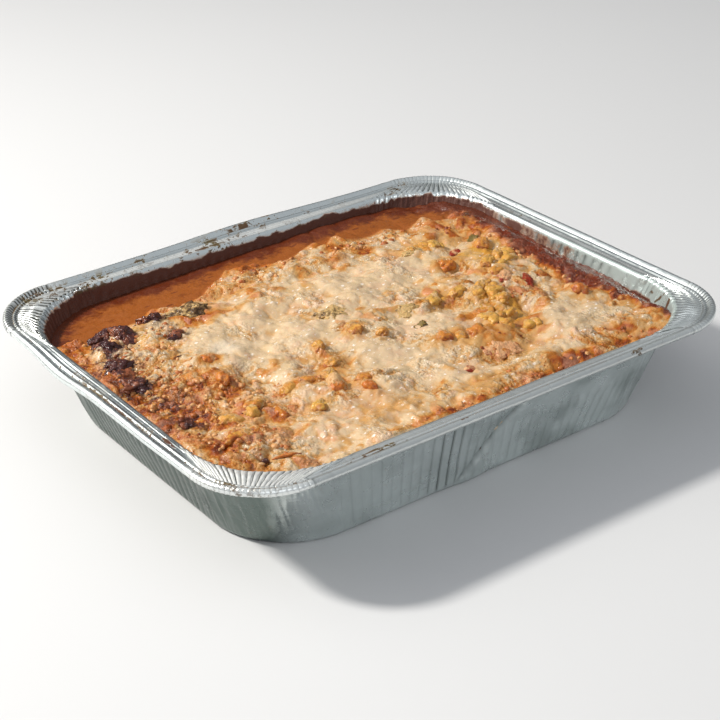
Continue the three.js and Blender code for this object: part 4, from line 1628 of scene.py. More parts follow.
@dataclass(frozen=True)
class BakeForm:
    """Sizes of the bake, and the heights and tones that follow from them."""

    tray: TrayForm = field(default_factory=TrayForm)
    crown: float = 49.4
    top_limit: float = 53.4
    collar: float = 0.35
    seed: int = 7
    edge_height: float = 46.0
    level_blend: float = 60.0
    wall_levels: tuple = (
        (-146, -60, 47), (-146, 30, 46.5), (-118, 100, 44), (0, 117, 46.6), (62, 118, 48),
        (120, 100, 46), (146, 10, 43), (140, -80, 40.5), (100, -116, 44), (20, -116, 46.5),
        (-100, -110, 46.5),
    )
    lumpy_back_edge: tuple = (
        (-150, 76), (-138, 78), (-128, 70), (-116, 74), (-104, 74), (-94, 79), (-84, 83),
        (-76, 78), (-70, 74), (-60, 80), (-48, 82), (-40, 88), (-30, 92), (-24, 98), (-14, 95),
        (-4, 99), (8, 88), (20, 90), (30, 95), (36, 97), (42, 90), (50, 98), (57, 92), (64, 85),
        (74, 88), (84, 92), (90, 88), (96, 80), (108, 86), (116, 78), (126, 80), (150, 74),
    )
    creamy: tuple[Blot, ...] = blots(
        (-78, 14, 24, 18, 1.25), (-35, 34, 44, 16, 0.8), (20, 34, 54, 20, 0.9),
        (60, 30, 26, 14, 0.7), (0, -32, 42, 26, 0.8), (-42, -66, 42, 24, 0.8),
        (-66, -92, 38, 12, 0.7), (30, -88, 44, 11, 0.75), (10, -60, 40, 20, 0.8),
        (96, -70, 26, 18, 0.8), (-18, -62, 18, 12, 0.9), (-40, 0, 46, 20, 0.7),
        (70, 62, 30, 10, 0.4), (58, -30, 8, 8, 0.8), (110, -50, 14, 10, 0.6),
    )
    crumbly: tuple[Blot, ...] = blots(
        (-120, 0, 24, 74), (-120, -80, 22, 26, 0.9), (-141, 0, 9, 80), (-20, 80, 60, 14, 0.5),
        (66, 78, 50, 14, 0.55), (124, 0, 12, 74, 0.45), (10, -109, 110, 6, 0.4),
        (-88, -34, 18, 30, 0.6), (80, -30, 30, 26, 0.5), (-66, -44, 22, 14, 0.4),
        (-95, 52, 22, 10, 0.7),
    )
    toasted: tuple[Blot, ...] = blots(
        (-142, 10, 7, 90, 0.8), (-136, 66, 12, 10, 0.7), (-126, -24, 14, 26, 0.7),
        (-108, -9, 10, 12, 0.65), (-97, -18, 10, 14, 0.65), (-112, -48, 20, 10, 0.5),
        (-63, 52, 14, 4, 0.8), (-45, 50, 8, 3, 0.5), (-118, -70, 16, 8, 0.28),
        (-136, -72, 8, 26, 0.6), (-112, 24, 20, 18, 0.25), (-102, 34, 8, 8, 0.5),
        (-90, 7, 8, 5, 0.5), (-26, -110, 30, 5, 0.6), (34, -109, 44, 7, 0.5),
        (100, -109, 30, 6, 0.5), (133, 0, 8, 84, 0.6), (127, -34, 7, 24, 0.66),
        (122, 13, 5, 8, 0.7), (126, -10, 6, 9, 0.75), (124, 54, 12, 14, 0.4),
        (-122, -32, 14, 12, 0.4), (-112, -30, 9, 6, 0.4), (-46, -88, 34, 14, 0.26),
        (42, -70, 24, 14, 0.42), (-126, -30, 14, 16, 0.88), (60, -108, 60, 6, 0.75),
        (104, -97, 14, 6, 0.65), (102, -96, 18, 8, 0.55), (117, -46, 10, 12, 0.45),
        (56, -54, 12, 5, 0.4), (-44, 74, 34, 10, 0.3), (-6, 90, 20, 9, 0.45), (44, 82, 7, 6, 0.7),
        (55, 71, 7, 6, 0.75), (33, 70, 6, 5, 0.6), (10, 68, 6, 6, 0.6), (80, 24, 10, 6, 0.5),
        (-64, -42, 14, 5, 0.35), (-92, -58, 8, 12, 0.4), (48, -12, 12, 5, 0.45),
        (-92, 68, 12, 10, 0.4), (108, 62, 20, 14, 0.35), (45, -9, 11, 6, 0.35),
        (54, -37, 9, 5, 0.35), (22, -50, 10, 6, 0.35), (-40, -34, 14, 12, 0.3),
        (-48, -60, 15, 10, 0.22), (-12, -12, 8, 8, 0.25), (30, -72, 30, 8, 0.2),
        (-20, 20, 8, 5, 0.2), (70, -34, 14, 14, 0.3), (112, -30, 20, 30, 0.08),
        (64, 54, 20, 6, 0.3), (-64, 56, 14, 6, 0.45), (-60, -80, 40, 22, 0.12),
        (40, -72, 34, 16, 0.2), (-10, 30, 60, 20, 0.06), (72, 6, 10, 5, 0.35),
        (20, -96, 34, 6, 0.35), (-130, -98, 16, 10, 0.38),
    )
    yellowish: tuple[Blot, ...] = blots(
        (68, -38, 18, 24), (104, 22, 22, 16, 0.9), (100, 4, 20, 10, 0.65), (80, 48, 26, 12, 0.5),
        (-10, 50, 40, 14, 0.45), (20, 80, 50, 9, 0.4), (-106, 56, 10, 12, 0.8),
        (46, -8, 12, 7, 0.9),
    )
    charred: tuple[Blot, ...] = tuple(
        Blot(p.x, p.y, 1.2 * p.length, 1.2 * p.width, 1.15) for p in CHARRED_HAM
    ) + blots((-136, -30, 5, 14, 0.9), (-135, -46, 5, 10, 0.9), (-102, 21, 7, 4, 0.9),
              (-101, 64, 4, 5, 0.9), (-137, 14, 6, 22, 0.7), (-80, 57, 8, 4, 0.7))

    def level(self, x: Array, y: Array) -> Array:
        """Level of the smooth sauce, blended from what is seen round the wall.

        Args:
            x: Places along X.
            y: Places along Y.

        Returns:
            The level at each place.
        """
        total = np.zeros(np.shape(x))
        weights = np.zeros(np.shape(x))
        for wall_x, wall_y, height in self.wall_levels:
            weight = 1 / ((x - wall_x) ** 2 + (y - wall_y) ** 2 + self.level_blend)
            total += height * weight
            weights += weight
        return total / weights

    def from_wall(self, x: Array, y: Array) -> Array:
        """Distance from the inside of the wall.

        Args:
            x: Places along X.
            y: Places along Y.

        Returns:
            The distance of each place.
        """
        edge = self.tray.wall(self.edge_height)
        across = np.maximum(np.abs(x) - (edge.half_x - edge.radius), 0)
        up = np.maximum(np.abs(y) - (edge.half_y - edge.radius), 0)
        return edge.radius - np.hypot(across, up)

    def lumpiness(self, x: Array, y: Array) -> Array:
        """Where the lumpy layer lies.

        Args:
            x: Places along X.
            y: Places along Y.

        Returns:
            1 on it and 0 on the smooth sauce at its edge.
        """
        wander = 3 * noise(x, y, 13, self.seed + 1)
        back = ease((follow(self.lumpy_back_edge, x) + wander - y) / 7 + 0.5)
        return back * ease((146 - x) / 16) * ease((x + 150) / 5) * ease((y + 118) / 7)

    def coarse(self, x: Array, y: Array) -> Array:
        """Height of the top without its small lumps.

        Args:
            x: Places along X.
            y: Places along Y.

        Returns:
            The height at each place.
        """
        level = self.level(x, y)
        mounds = 1.0 * noise(x, y, 34, self.seed + 2)
        relief = 2.6 * noise(x, y, 16, self.seed + 3) + 1.2 * noise(x, y, 10, self.seed + 4)
        waves = 0.35 * noise(x, y, 22, self.seed + 5)
        lumpy = (self.crown + mounds + relief - level) * self.lumpiness(x, y)
        return np.minimum(level + waves + lumpy, self.top_limit - 1)

    def swell(self, x: Array, y: Array) -> Pair:
        """Rise of the sauce round the pasta that shows.

        Args:
            x: Places along X.
            y: Places along Y.

        Returns:
            The rise at each place, and how much it is browned there.
        """
        total = np.zeros(np.shape(x))
        warmth = np.zeros(np.shape(x))
        for tube in pasta_pieces():
            turn = math.radians(tube.heading)
            along = (x - tube.x) * math.cos(turn) + (y - tube.y) * math.sin(turn)
            across = (y - tube.y) * math.cos(turn) - (x - tube.x) * math.sin(turn)
            past = np.maximum(np.abs(along) - tube.length * 0.4, 0)
            away = np.hypot(past, across) / (tube.radius * 1.3)
            total = np.maximum(total, tube.radius * self.collar * np.exp(-away ** 3))
            warmth = np.maximum(warmth, np.exp(-away ** 2))
        return total, warmth

    def fine(self, x: Array, y: Array, swollen: bool = True) -> tuple[Array, dict]:
        """Height of the top with all its lumps, and what colours it.

        Args:
            x: Places along X.
            y: Places along Y.
            swollen: Whether the sauce rises round the pasta that shows.

        Returns:
            The heights, and the named values from 0 to 1.
        """
        mask = self.lumpiness(x, y)
        crumb = blotted(self.crumbly, x, y)
        cream = blotted(self.creamy, x, y) * (1 - 0.8 * crumb)
        bent_x = x + 2.6 * noise(x, y, 8, 21) + 0.9 * noise(x, y, 3.1, 24)
        bent_y = y + 2.6 * noise(x, y, 8, 22) + 0.9 * noise(x, y, 3.1, 26)
        long, own = domes(bent_x, bent_y, 9.4, 31, 0.95, 0.44)
        stubby, other = domes(bent_x + 40, bent_y - 20, 7.6, 61, 0.72, 0.5)
        curd, curd_own = domes(bent_x, bent_y, 5.0, 35, 0.72, 0.52)
        grit_x, grit_y = x + noise(x, y, 2.4, 23), y + noise(x, y, 2.1, 25)
        grit, grit_own = domes(grit_x, grit_y, 2.6, 39, 0.7, 0.55)
        long_top, stubby_top = 3.9 * long, 3.3 * stubby
        own = np.where(long_top >= stubby_top, own, other)
        billow = np.abs(layered(bent_x, bent_y, 3.4, 33, 3))
        curdled = np.maximum(crumb, 0.75 * ease(layered(x, y, 15, 57) * 1.6 + 0.25))
        rugged = (np.maximum(long_top, stubby_top) + (0.4 + 1.5 * curdled) * curd
                  + (0.02 + 0.36 * curdled) * grit + (0.05 + 0.6 * curdled) * billow)
        wander = layered(x, y, 9, 25)
        soft_x, soft_y = x + 1.8 * noise(x, y, 5, 73), y + 1.8 * noise(x, y, 5, 74)
        mounds = domes(soft_x, soft_y, 7.4, 75, 0.9, 0.55)[0]
        lumps = domes(soft_x, soft_y, 3.9, 77, 0.75, 0.5)[0]
        melted = 1.6 * mounds ** 1.6 + 0.7 * (1 - 0.6 * ease(cream)) * lumps ** 1.6
        cream_level = 1.45 + 1.5 * cream + 0.5 * wander + melted
        relief = soft_max(rugged, cream_level, 1.0)
        folds = 0.2 * layered(x * 0.5 + y * 0.4, y - x * 0.4, 7.0, 27, 2)
        wrinkles = (0.06 + 0.5 * curdled) * np.abs(layered(bent_x, bent_y, 6, 28, 4))
        back_edge = follow(self.lumpy_back_edge, x) - y
        sheet = 1.1 * domes(bent_x, bent_y, 15, 53, 0.7, 0.6)[0] * ease((x + 20) / 60)
        skin = 0.16 * layered(x, y, 6, 28) + 0.35 * bell(layered(x, y, 9, 29) - 0.55, 0.12) + sheet
        height = self.coarse(x, y) + mask * (relief - 2.7 + folds - wrinkles) + (1 - mask) * skin
        collar, warmth = self.swell(x, y) if swollen else (0.0, 0.0)
        height = height + collar * mask
        poking = ease((rugged - cream_level) / 1.2)
        low = ease((2.2 - rugged) / 2.0) * (1 - ease(cream * 1.4)) * mask
        toasted = blotted(self.toasted, x, y)
        patchy = layered(x, y, 11, 45)
        bare = 1 - ease(cream * 1.3)
        variety = ((own - 0.5) * (0.08 + 0.24 * bare) * poking
                   + (curd_own - 0.5) * (0.06 + 0.2 * crumb)
                   + (grit_own - 0.5) * (0.03 + 0.14 * crumb)
                   + (0.03 + 0.24 * bare) * ease((own - 0.8) / 0.08) * poking)
        roast = (0.23 - 0.03 * ease(cream * 1.4) * (1 - 0.4 * poking) - 0.14 * ease(cream - 0.9)
                 + toasted * (0.76 + 0.3 * patchy) + 0.05 * patchy + variety
                 + (0.1 + 0.14 * crumb) * low + 0.05 * crumb)
        sauce = (1 - ease(mask * 1.5 - 0.1)) * ease((y - 40) / 30)
        glaze = ease(1.3 - back_edge / 9) * ease((y - 55) / 14)
        glaze = np.maximum(glaze, 0.5 * ease((-134 - x - 3 * wander) / 8)) * (0.7 + 0.5 * patchy)
        roast = roast + 0.2 * glaze
        # Painted shadow: a darker band at the back right corner and along the back wall.
        corner = ease((x + 0.55 * y - 174 - 4 * wander) / 10) * ease((y - 50) / 20)
        edge_band = ease((8 - np.abs(117 - 1.5 * wander - y)) / 6) * ease((x + 150) / 60)
        shade = np.maximum(corner, 0.7 * edge_band)
        ridge = ease((x - 112 - 4 * wander) / 16) * ease((118 - y) / 12)
        crust_edge = 117 + 8 * ease((-50 - y) / 30) + 7 * ease((y - 15) / 30) + 5 * wander
        crust = np.maximum(ridge * ease((x - crust_edge) / 14),
                           (1 - ease(mask * 1.2)) * (1 - sauce)) * (1 - 0.18 * ease((y - 20) / 30))
        roast = roast + 0.72 * crust + 0.3 * crust * (own - 0.4) + 0.08 * ridge
        roast = roast + 0.2 * warmth * (1 - crust)
        height = height + 3.0 * ease((x - 118) / 22) * ease((112 - np.abs(y)) / 14)
        crumbled = (1 - mask) * (curd + 0.6 * grit + long - 0.7)
        height = height + 1.2 * ridge * crumbled * ease((140 - x) / 6)
        char = blotted(self.charred, x, y) * (0.62 + 0.6 * layered(bent_x, bent_y, 5, 47))
        yellow = blotted(self.yellowish, x, y) * (0.5 + 0.5 * own)
        # Painted shadow of the wall on the sauce: 0 at the wall, 1 clear of it.
        out_of_wall_shadow = ease((self.from_wall(x, y) - 1 + 4 * wander) / 20) * (1 - 0.7 * shade)
        return height, {
            "cream": cream * (1 - 0.6 * poking) * (1 - crumb * 0.7), "roast": roast,
            "sauce": sauce, "char": char, "yellow": yellow, "glaze": glaze, "out_of_wall_shadow": out_of_wall_shadow,
            "pink": ease((0.34 - other) / 0.2) * poking, "crust": crust * (0.7 + 0.4 * own),
            "curdled": np.maximum(curdled * mask, 0.7 * crust * ridge),
        }


@dataclass
class Bake:
    """The set bake: its top with all lumps, and its plain sides and bottom inside the foil."""

    form: BakeForm = field(default_factory=BakeForm)
    columns: int = 344
    rows: int = 274
    edge_inset: float = 0.2
    hidden_rows: tuple = ((37.0, 2.2), (20.0, 2.2), (0.9, 3.0))
    level_step: float = 0.25
    edge_passes: int = 2
    edge_pull: int = 24

    def plan(self) -> Pair:
        """Places of the surface's corners.

        Returns:
            Their places along X and Y, the outermost ones inside the foil of the wall.
        """
        tray = self.form.tray
        turn = tray.turns()
        u, v = np.meshgrid(np.linspace(-1, 1, self.columns), np.linspace(-1, 1, self.rows))
        edge = tray.wall(self.form.edge_height).inset(1.0)
        y = v * edge.half_y
        past = np.maximum(np.abs(y) - (edge.half_y - edge.radius), 0)
        x = u * (edge.half_x - edge.radius + np.sqrt(np.maximum(edge.radius ** 2 - past ** 2, 0)))
        for _ in range(self.edge_passes):
            for side in (np.s_[:, 0], np.s_[:, -1], np.s_[0, :], np.s_[-1, :]):
                moves = self.to_wall(x[side], y[side], turn)
                if side[0] == slice(None):
                    share = np.maximum(u * (1 if side[1] else -1), 0) ** self.edge_pull
                    x, y = x + share * moves[:, 0:1], y + share * moves[:, 1:2]
                else:
                    share = np.maximum(v * (1 if side[0] else -1), 0) ** self.edge_pull
                    x, y = x + share * moves[:, 0], y + share * moves[:, 1]
        return x, y

    def to_wall(self, x: Array, y: Array, turn: Array) -> Array:
        """Moves that take places at the bake's edge into the foil, at the height of the edge there.

        Args:
            x: Places along X.
            y: Places along Y.
            turn: Places round the wall that may be moved to.

        Returns:
            Two numbers for each place, none where the top is below or above the wall.
        """
        here = np.column_stack([x, y])
        level, _ = self.form.fine(x, y)
        moves = np.zeros(here.shape)
        for z in np.arange(36.0, 54.0, self.level_step):
            hit = np.abs(level - z) <= self.level_step / 2
            if hit.any():
                ring = self.form.tray.wall_row(turn, z, self.edge_inset)[:, :2]
                near = np.argmin(((here[hit][:, None] - ring[None]) ** 2).sum(-1), axis=1)
                moves[hit] = ring[near] - here[hit]
        return moves

    def build(self, effects: Effects) -> Object:
        """Make the bake.

        Args:
            effects: Shared effects.

        Returns:
            The bake.
        """
        tray = self.form.tray
        x, y = self.plan()
        z, values = self.form.fine(x, y)
        # Darker in the hollows of the top: oil that gathers there, and painted shade.
        values["hollow_oil_and_shade"] = np.clip((spread_out(z, 2) - z) / 0.5, -1, 1)
        flat = {name: value.ravel() for name, value in values.items()}
        plain = {name: 0.0 for name in flat}
        corners = np.stack([x, y, z], -1).reshape(-1, 3)
        shape = Shape()
        shape.add(corners, grid_quads(self.rows, self.columns), **flat)
        before = grid_rim(self.rows, self.columns)
        count = len(before)
        turn = tray.turns()
        ring = tray.wall_row(turn, self.form.edge_height, self.edge_inset)[:, :2]
        away = ((corners[before][:, None, :2] - ring[None]) ** 2).sum(-1)
        near = turn[np.argmin(away, axis=1)]
        for height, moved_in in self.hidden_rows:
            after = shape.add(tray.wall_row(near, height, moved_in), **plain) + np.arange(count)
            faces = [before, after, np.roll(after, -1), np.roll(before, -1)]
            shape.quads.append(np.column_stack(faces))
            before = after
        middle = shape.add([[0, 0, self.hidden_rows[-1][0]]], **plain)
        fan = [np.full(count, middle), np.roll(before, -1), before]
        shape.triangles.append(np.column_stack(fan))
        bake = shape.build("pasta_bake_top", BakeFinish().build(effects))
        settle(bake, "bake", "pasta_bake")
        return bake

    def ground(self, x: float, y: float) -> float:
        """Height of the top at one place, without the rise round pasta, over a small patch.

        Args:
            x: Place along X, in millimetres.
            y: Place along Y, in millimetres.

        Returns:
            The mean height there.
        """
        spots = np.array([(0, 0), (2.5, 0), (-2.5, 0), (0, 2.5), (0, -2.5)])
        heights, _ = self.form.fine(x + spots[:, 0], y + spots[:, 1], swollen=False)
        return float(heights.mean())


# Pieces on the bake

@dataclass
class Pasta:
    """Short curled pieces of pasta that poke out of the sauce, part coated by it."""

    detail: int = 4
    bend: float = 0.12
    most_tip: float = 36.0
    facing: tuple[float, float] = (0.59, 0.81)

    def curl(self, tube: Tube, seed: int) -> Pair:
        """One uneven piece about the origin, its arch up.

        Args:
            tube: Its sizes.
            seed: Which unevenness.

        Returns:
            Its corners and triangles.
        """
        corners, triangles = ball(self.detail)
        square = np.sign(corners) * np.abs(corners) ** 0.72
        plain = square * [tube.length / 2, tube.radius, tube.radius * 0.85]
        x, y, z = plain.T
        knobs, _ = domes(x + seed * 3.3 + 0.6 * z, y + 0.8 * z + seed, 3.4, seed + 3, 0.8, 0.6)
        swell = 1 + 0.5 * layered(x + seed * 7.3, y + 0.6 * z, 6.0, seed, 2) + 0.2 * (knobs - 0.5)
        swell = swell + 0.12 * layered(x + z, y - z, 2.0, seed + 9, 2)
        body = plain * swell[:, None]
        body[:, 2] += self.bend * tube.length * (0.5 - corners[:, 0] ** 2)
        return body, triangles

    def build(self, bake: Bake, effects: Effects) -> Object:
        """Make every showing piece as one object.

        Args:
            bake: What they poke out of.
            effects: Shared effects.

        Returns:
            The object.
        """
        shape = Shape()
        for number, tube in enumerate(pasta_pieces()):
            corners, triangles = self.curl(tube, number)
            pick = [float(draw(number, k, 92 + k)) for k in (1, 2, 3)]
            tip = math.radians(self.most_tip * (pick[0] - 0.5))
            heading = Matrix.Rotation(math.radians(tube.heading), 3, "Z")
            corners = corners @ np.array(heading @ Matrix.Rotation(tip, 3, "Y")).T
            rise = tube.radius * (1 - 2 * tube.sunk) + bake.form.collar * tube.radius
            corners = corners + [tube.x, tube.y, bake.ground(tube.x, tube.y) + rise]
            # Painted shade: each piece is toasted darker on its side toward the camera and lighter
            # on its top, as the light falls from the back.
            low = corners[:, 2].min()
            over = (corners[:, 2] - low) / (corners[:, 2].max() - low)
            patch = layered(corners[:, 0], corners[:, 1], 4.0, 96)
            behind = ((corners[:, 0] - tube.x) * self.facing[0]
                      + (corners[:, 1] - tube.y) * self.facing[1])
            front = np.clip(-behind / tube.radius, -1.2, 1.2)
            shape.add(corners, triangles=triangles, tint=pick[2] * tube.warmth,
                      toast=tube.brown + 0.34 * front - 0.45 * over + 0.3 * (pick[1] - 0.5),
                      coated=0.5 - 0.3 * front - 0.5 * (over - 0.5) + 0.45 * patch)
        pasta = shape.build("showing_pasta", PastaFinish().build(effects))
        settle(pasta, "bake")
        return pasta


@dataclass
class Toppings:
    """Ham, blue cheese and herbs that lie on the bake."""

    detail: int = 5
    leaf_steps: tuple[int, int] = (12, 28)

    def lump(self, piece: Piece, seed: int, rough: float, grow: float) -> Pair:
        """Corners and triangles of an uneven lump about the origin.

        Args:
            piece: Its size.
            seed: Which unevenness.
            rough: How uneven it is.
            grow: Share by which it is larger in plan than its solid.

        Returns:
            Corners and triangles.
        """
        corners, triangles = ball(self.detail)
        scale = np.array([piece.length * grow, piece.width * grow, piece.height]) / 2
        plain = corners * scale
        x, y, z = plain.T
        coarse = layered(x + seed * 7.3, y + z * 0.6, 5.0, seed, 2)
        knobs, _ = domes(x + seed * 3.1 + 0.5 * z, y + 0.7 * z, 2.4, seed + 3, 0.75, 0.6)
        creases = np.abs(layered(x + z, y - z, 2.2, seed + 9, 3))
        swell = 1.05 + rough * (0.55 * coarse + 0.28 * (knobs - 0.45) + 0.35 * (creases - 0.25))
        return plain * swell[:, None], triangles

    def lay(self, corners: Array, piece: Piece, bake: Bake, lift: float) -> Array:
        """Turn corners to the piece's heading and lay them on the bake, following its mounds.

        Args:
            corners: Corners about the origin.
            piece: Where they go.
            bake: What they lie on.
            lift: How far over it.

        Returns:
            The corners in their places.
        """
        turn = math.radians(piece.heading)
        x = piece.x + corners[:, 0] * math.cos(turn) - corners[:, 1] * math.sin(turn)
        y = piece.y + corners[:, 0] * math.sin(turn) + corners[:, 1] * math.cos(turn)
        ground = bake.form.coarse(x, y)
        return np.column_stack([x, y, corners[:, 2] + 0.7 * ground + 0.3 * ground.mean() + lift])

    def leaf(self, piece: Piece) -> Pair:
        """Thin curled leaf about the origin.

        Args:
            piece: Its size.

        Returns:
            Its corners and four-cornered faces.
        """
        rows, columns = self.leaf_steps
        u, v = np.meshgrid(np.linspace(-1, 1, columns), np.linspace(-1, 1, rows))
        taper = np.sqrt(np.maximum(1 - u ** 2, 0.02))
        x = u * piece.length / 2
        y = v * taper * piece.width / 2 * (1 + 0.12 * np.sin(u * 17))
        z = 0.9 * np.sin(u * 3.4) + 0.7 * v ** 2 * taper
        upper = np.stack([x, y, z + 0.25], -1).reshape(-1, 3)
        lower = np.stack([x, y, z - 0.25], -1).reshape(-1, 3)
        faces = grid_quads(rows, columns).reshape(-1, 4)
        count = len(upper)
        rim = grid_rim(rows, columns)
        after = np.roll(rim, -1)
        sides = np.column_stack([rim, rim + count, after + count, after])
        faces = np.concatenate([faces, faces[:, ::-1] + count, sides])
        return np.concatenate([upper, lower]), faces

    def build(self, bake: Bake, effects: Effects) -> None:
        """Make each topping as its own piece, in place of its solid.

        Args:
            bake: What they lie on.
            effects: Shared effects.
        """
        kinds = (("charred_ham", CHARRED_HAM, CHARRED.build(effects), 1.2, 1.2, -0.6),
                 ("ham", PINK_HAM, HAM.build(effects), 0.9, 1.05, 0.0),
                 ("blue_cheese", BLUE_CHEESE, CHEESE.build(effects), 0.85, 1.1, -0.5))
        for name, pieces, material, rough, grow, lift in kinds:
            for number, piece in enumerate(pieces, start=1):
                corners, triangles = self.lump(piece, 100 + 7 * number + len(name), rough, grow)
                shape = Shape()
                placed = self.lay(corners, piece, bake, lift)
                shape.add(placed, triangles=triangles, tint=float(draw(number, len(name), 97)),
                          toast=self.browning(name, corners, piece, number))
                node = f"{name}_{number}"
                settle(shape.build(f"{node}_piece", material), name, node)
        herb = HERB.build(effects)
        for number, piece in enumerate(HERBS, start=1):
            corners, quads = self.leaf(piece)
            shape = Shape()
            shape.add(self.lay(corners, piece, bake, 0.5), quads, tint=0.3, toast=0.3)
            settle(shape.build(f"herb_{number}_leaf", herb), "herb", f"herb_{number}")

    @staticmethod
    def browning(name: str, corners: Array, piece: Piece, number: int) -> Array:
        """How browned each corner is: ham at its edge, cheese and char unevenly.

        Args:
            name: Which topping.
            corners: Its corners about the origin.
            piece: Its size and browning.
            number: Which of its kind.

        Returns:
            From about 0 to 1 for each corner.
        """
        reach = np.hypot(corners[:, 0] / piece.length, corners[:, 1] / piece.width) * 2
        uneven = layered(corners[:, 0] + 9 * number, corners[:, 1], 4.0, 99)
        if name == "ham":
            edge = 0.8 * ease((reach - 0.86) / 0.14) * ease(0.5 - corners[:, 0] / piece.length)
            return np.maximum(piece.brown, edge) + 0.35 * uneven
        return piece.brown + 0.5 * uneven


@dataclass(frozen=True)
class Bits:
    """A kind of loose bit: name, finish, how many, and its sizes."""

    name: str
    finish: "FoodFinish"
    count: int
    smallest: float
    largest: float
    seed: int


@dataclass
class Crumbs:
    """Loose curds of browned cheese and burnt bits on the bake."""

    curds: Bits = Bits("cheese_curds", CURD, 460, 0.7, 2.2, 111)
    golden: Bits = Bits("golden_crumbs", GOLDEN_CRUMB, 320, 0.5, 1.6, 121)
    burnt: Bits = Bits("burnt_crumbs", BURNT, 150, 0.5, 1.6, 131)
    strewn: tuple[float, float] = (288, 226)
    within: tuple[float, float] = (140, 110)
    tries: int = 12
    detail: int = 2

    def scatter(self, bits: Bits, bake: Bake, effects: Effects, zones: Iterable[Blot]) -> None:
        """Lay bits where they gather.

        Args:
            bits: Which kind.
            bake: What they lie on.
            effects: Shared effects.
            zones: Where they gather.
        """
        k = np.arange(bits.count * self.tries)
        x = (draw(k, 1, bits.seed) - 0.5) * self.strewn[0]
        y = (draw(k, 2, bits.seed) - 0.5) * self.strewn[1]
        _, values = bake.form.fine(x, y)
        share = blotted(zones, x, y)
        share = share * (share > 0.3) * ease(bake.form.lumpiness(x, y) * 3 - 2)
        share = share * (1 - values["crust"])
        inside = (np.abs(x) < self.within[0]) & (np.abs(y) < self.within[1])
        keep = np.flatnonzero((draw(k, 3, bits.seed) < share) & inside)[:bits.count]
        x, y = x[keep], y[keep]
        z, _ = bake.form.fine(x, y)
        corners, triangles = ball(self.detail)
        u, v, w = corners.T
        shape = Shape()
        for number, place in enumerate(np.column_stack([x, y, z])):
            pick = [float(draw(number, 4 + n, bits.seed)) for n in range(5)]
            size = bits.smallest + (bits.largest - bits.smallest) * pick[0] ** 2
            rough = 1 + 0.5 * layered(u * 2 + number, v * 2 + w, 1.5, bits.seed, 2)
            sizes = [size, size * (0.55 + 0.4 * pick[1]), size * (0.6 + 0.3 * pick[2])]
            turn = pick[3] * 2 * math.pi
            cos, sin = math.cos(turn), math.sin(turn)
            spin = np.array([[cos, -sin, 0], [sin, cos, 0], [0, 0, 1]])
            body = corners * rough[:, None] * sizes @ spin.T
            shape.add(body + place - [0, 0, 0.15 * size], triangles=triangles,
                      tint=pick[4], toast=pick[1])
        settle(shape.build(bits.name, bits.finish.build(effects)), "bake")

    def build(self, bake: Bake, effects: Effects) -> None:
        """Make each kind.

        Args:
            bake: What they lie on.
            effects: Shared effects.
        """
        form = bake.form
        self.scatter(self.curds, bake, effects, form.crumbly)
        self.scatter(self.golden, bake, effects, form.toasted)
        self.scatter(self.burnt, bake, effects, form.charred)


@dataclass(frozen=True)
class Stray:
    """A single bit that stands out: name, finish, its two ends, its radius and its arch."""

    name: str
    finish: "FoodFinish"
    start: tuple[float, float]
    end: tuple[float, float]
    radius: float
    arch: float

    def build(self, bake: Bake, effects: Effects) -> None:
        """Lay it on the bake from end to end, its middle arched up.

        Args:
            bake: What it lies on.
            effects: Shared effects.
        """
        corners, triangles = ball(4)
        u, v, w = corners.T
        share = (u + 1) / 2
        thick = self.radius * (1 + 0.4 * layered(u * 4, v * 2 + w, 1.4, 151, 2))
        along = np.subtract(self.end, self.start)
        side = np.array([-along[1], along[0]]) / math.dist(self.start, self.end)
        places = self.start + along * share[:, None] + side * (v * thick)[:, None]
        low, high = bake.ground(*self.start), bake.ground(*self.end)
        z = low + (high - low) * share + self.arch * (1 - u ** 2) + w * thick + 0.4 * self.radius
        shape = Shape()
        shape.add(np.column_stack([places, z]), triangles=triangles,
                  tint=0.4, toast=0.3 + 0.5 * (share - 0.5))
        settle(shape.build(self.name, self.finish.build(effects)), "bake")


STRAYS = (
    Stray("browned_strand", GOLDEN_CRUMB, (-118.5, -92.5), (-105.0, -98.0), 0.95, 0.9),
    Stray("burnt_fleck", BURNT, (-124.0, -91.6), (-120.0, -93.2), 1.5, 0.3),
)


# Studio

@dataclass(frozen=True)
class View:
    """Camera of the photograph: angles in degrees, lengths in millimetres."""

    azimuth: float = -35.83
    elevation: float = 28.01
    roll: float = -1.24
    distance: float = 921.4
    target: tuple[float, float, float] = (-8.57, -12.44, 32.0)
    focal_pixels: float = 1710.9
    frame_pixels: float = 720.0
    sensor: float = 36.0

    def build(self) -> None:
        """Make the camera."""
        a, e, r = (math.radians(v) for v in (self.azimuth, self.elevation, self.roll))
        back = Vector((math.sin(a) * math.cos(e), -math.cos(a) * math.cos(e), math.sin(e)))
        right = Vector((math.cos(a), math.sin(a), 0))
        up = back.cross(right)
        right, up = (right * math.cos(r) + up * math.sin(r),
                     up * math.cos(r) - right * math.sin(r))
        data = bpy.data.cameras.new("camera")
        data.sensor_width = self.sensor
        data.lens = self.focal_pixels / self.frame_pixels * self.sensor
        data.clip_start = 0.01
        camera = bpy.data.objects.new("camera", data)
        place = (Vector(self.target) + back * self.distance) * MM
        turned = Matrix((right, up, back)).transposed().to_4x4()
        camera.matrix_world = Matrix.Translation(place) @ turned
        bpy.context.scene.collection.objects.link(camera)
        bpy.context.scene.camera = camera


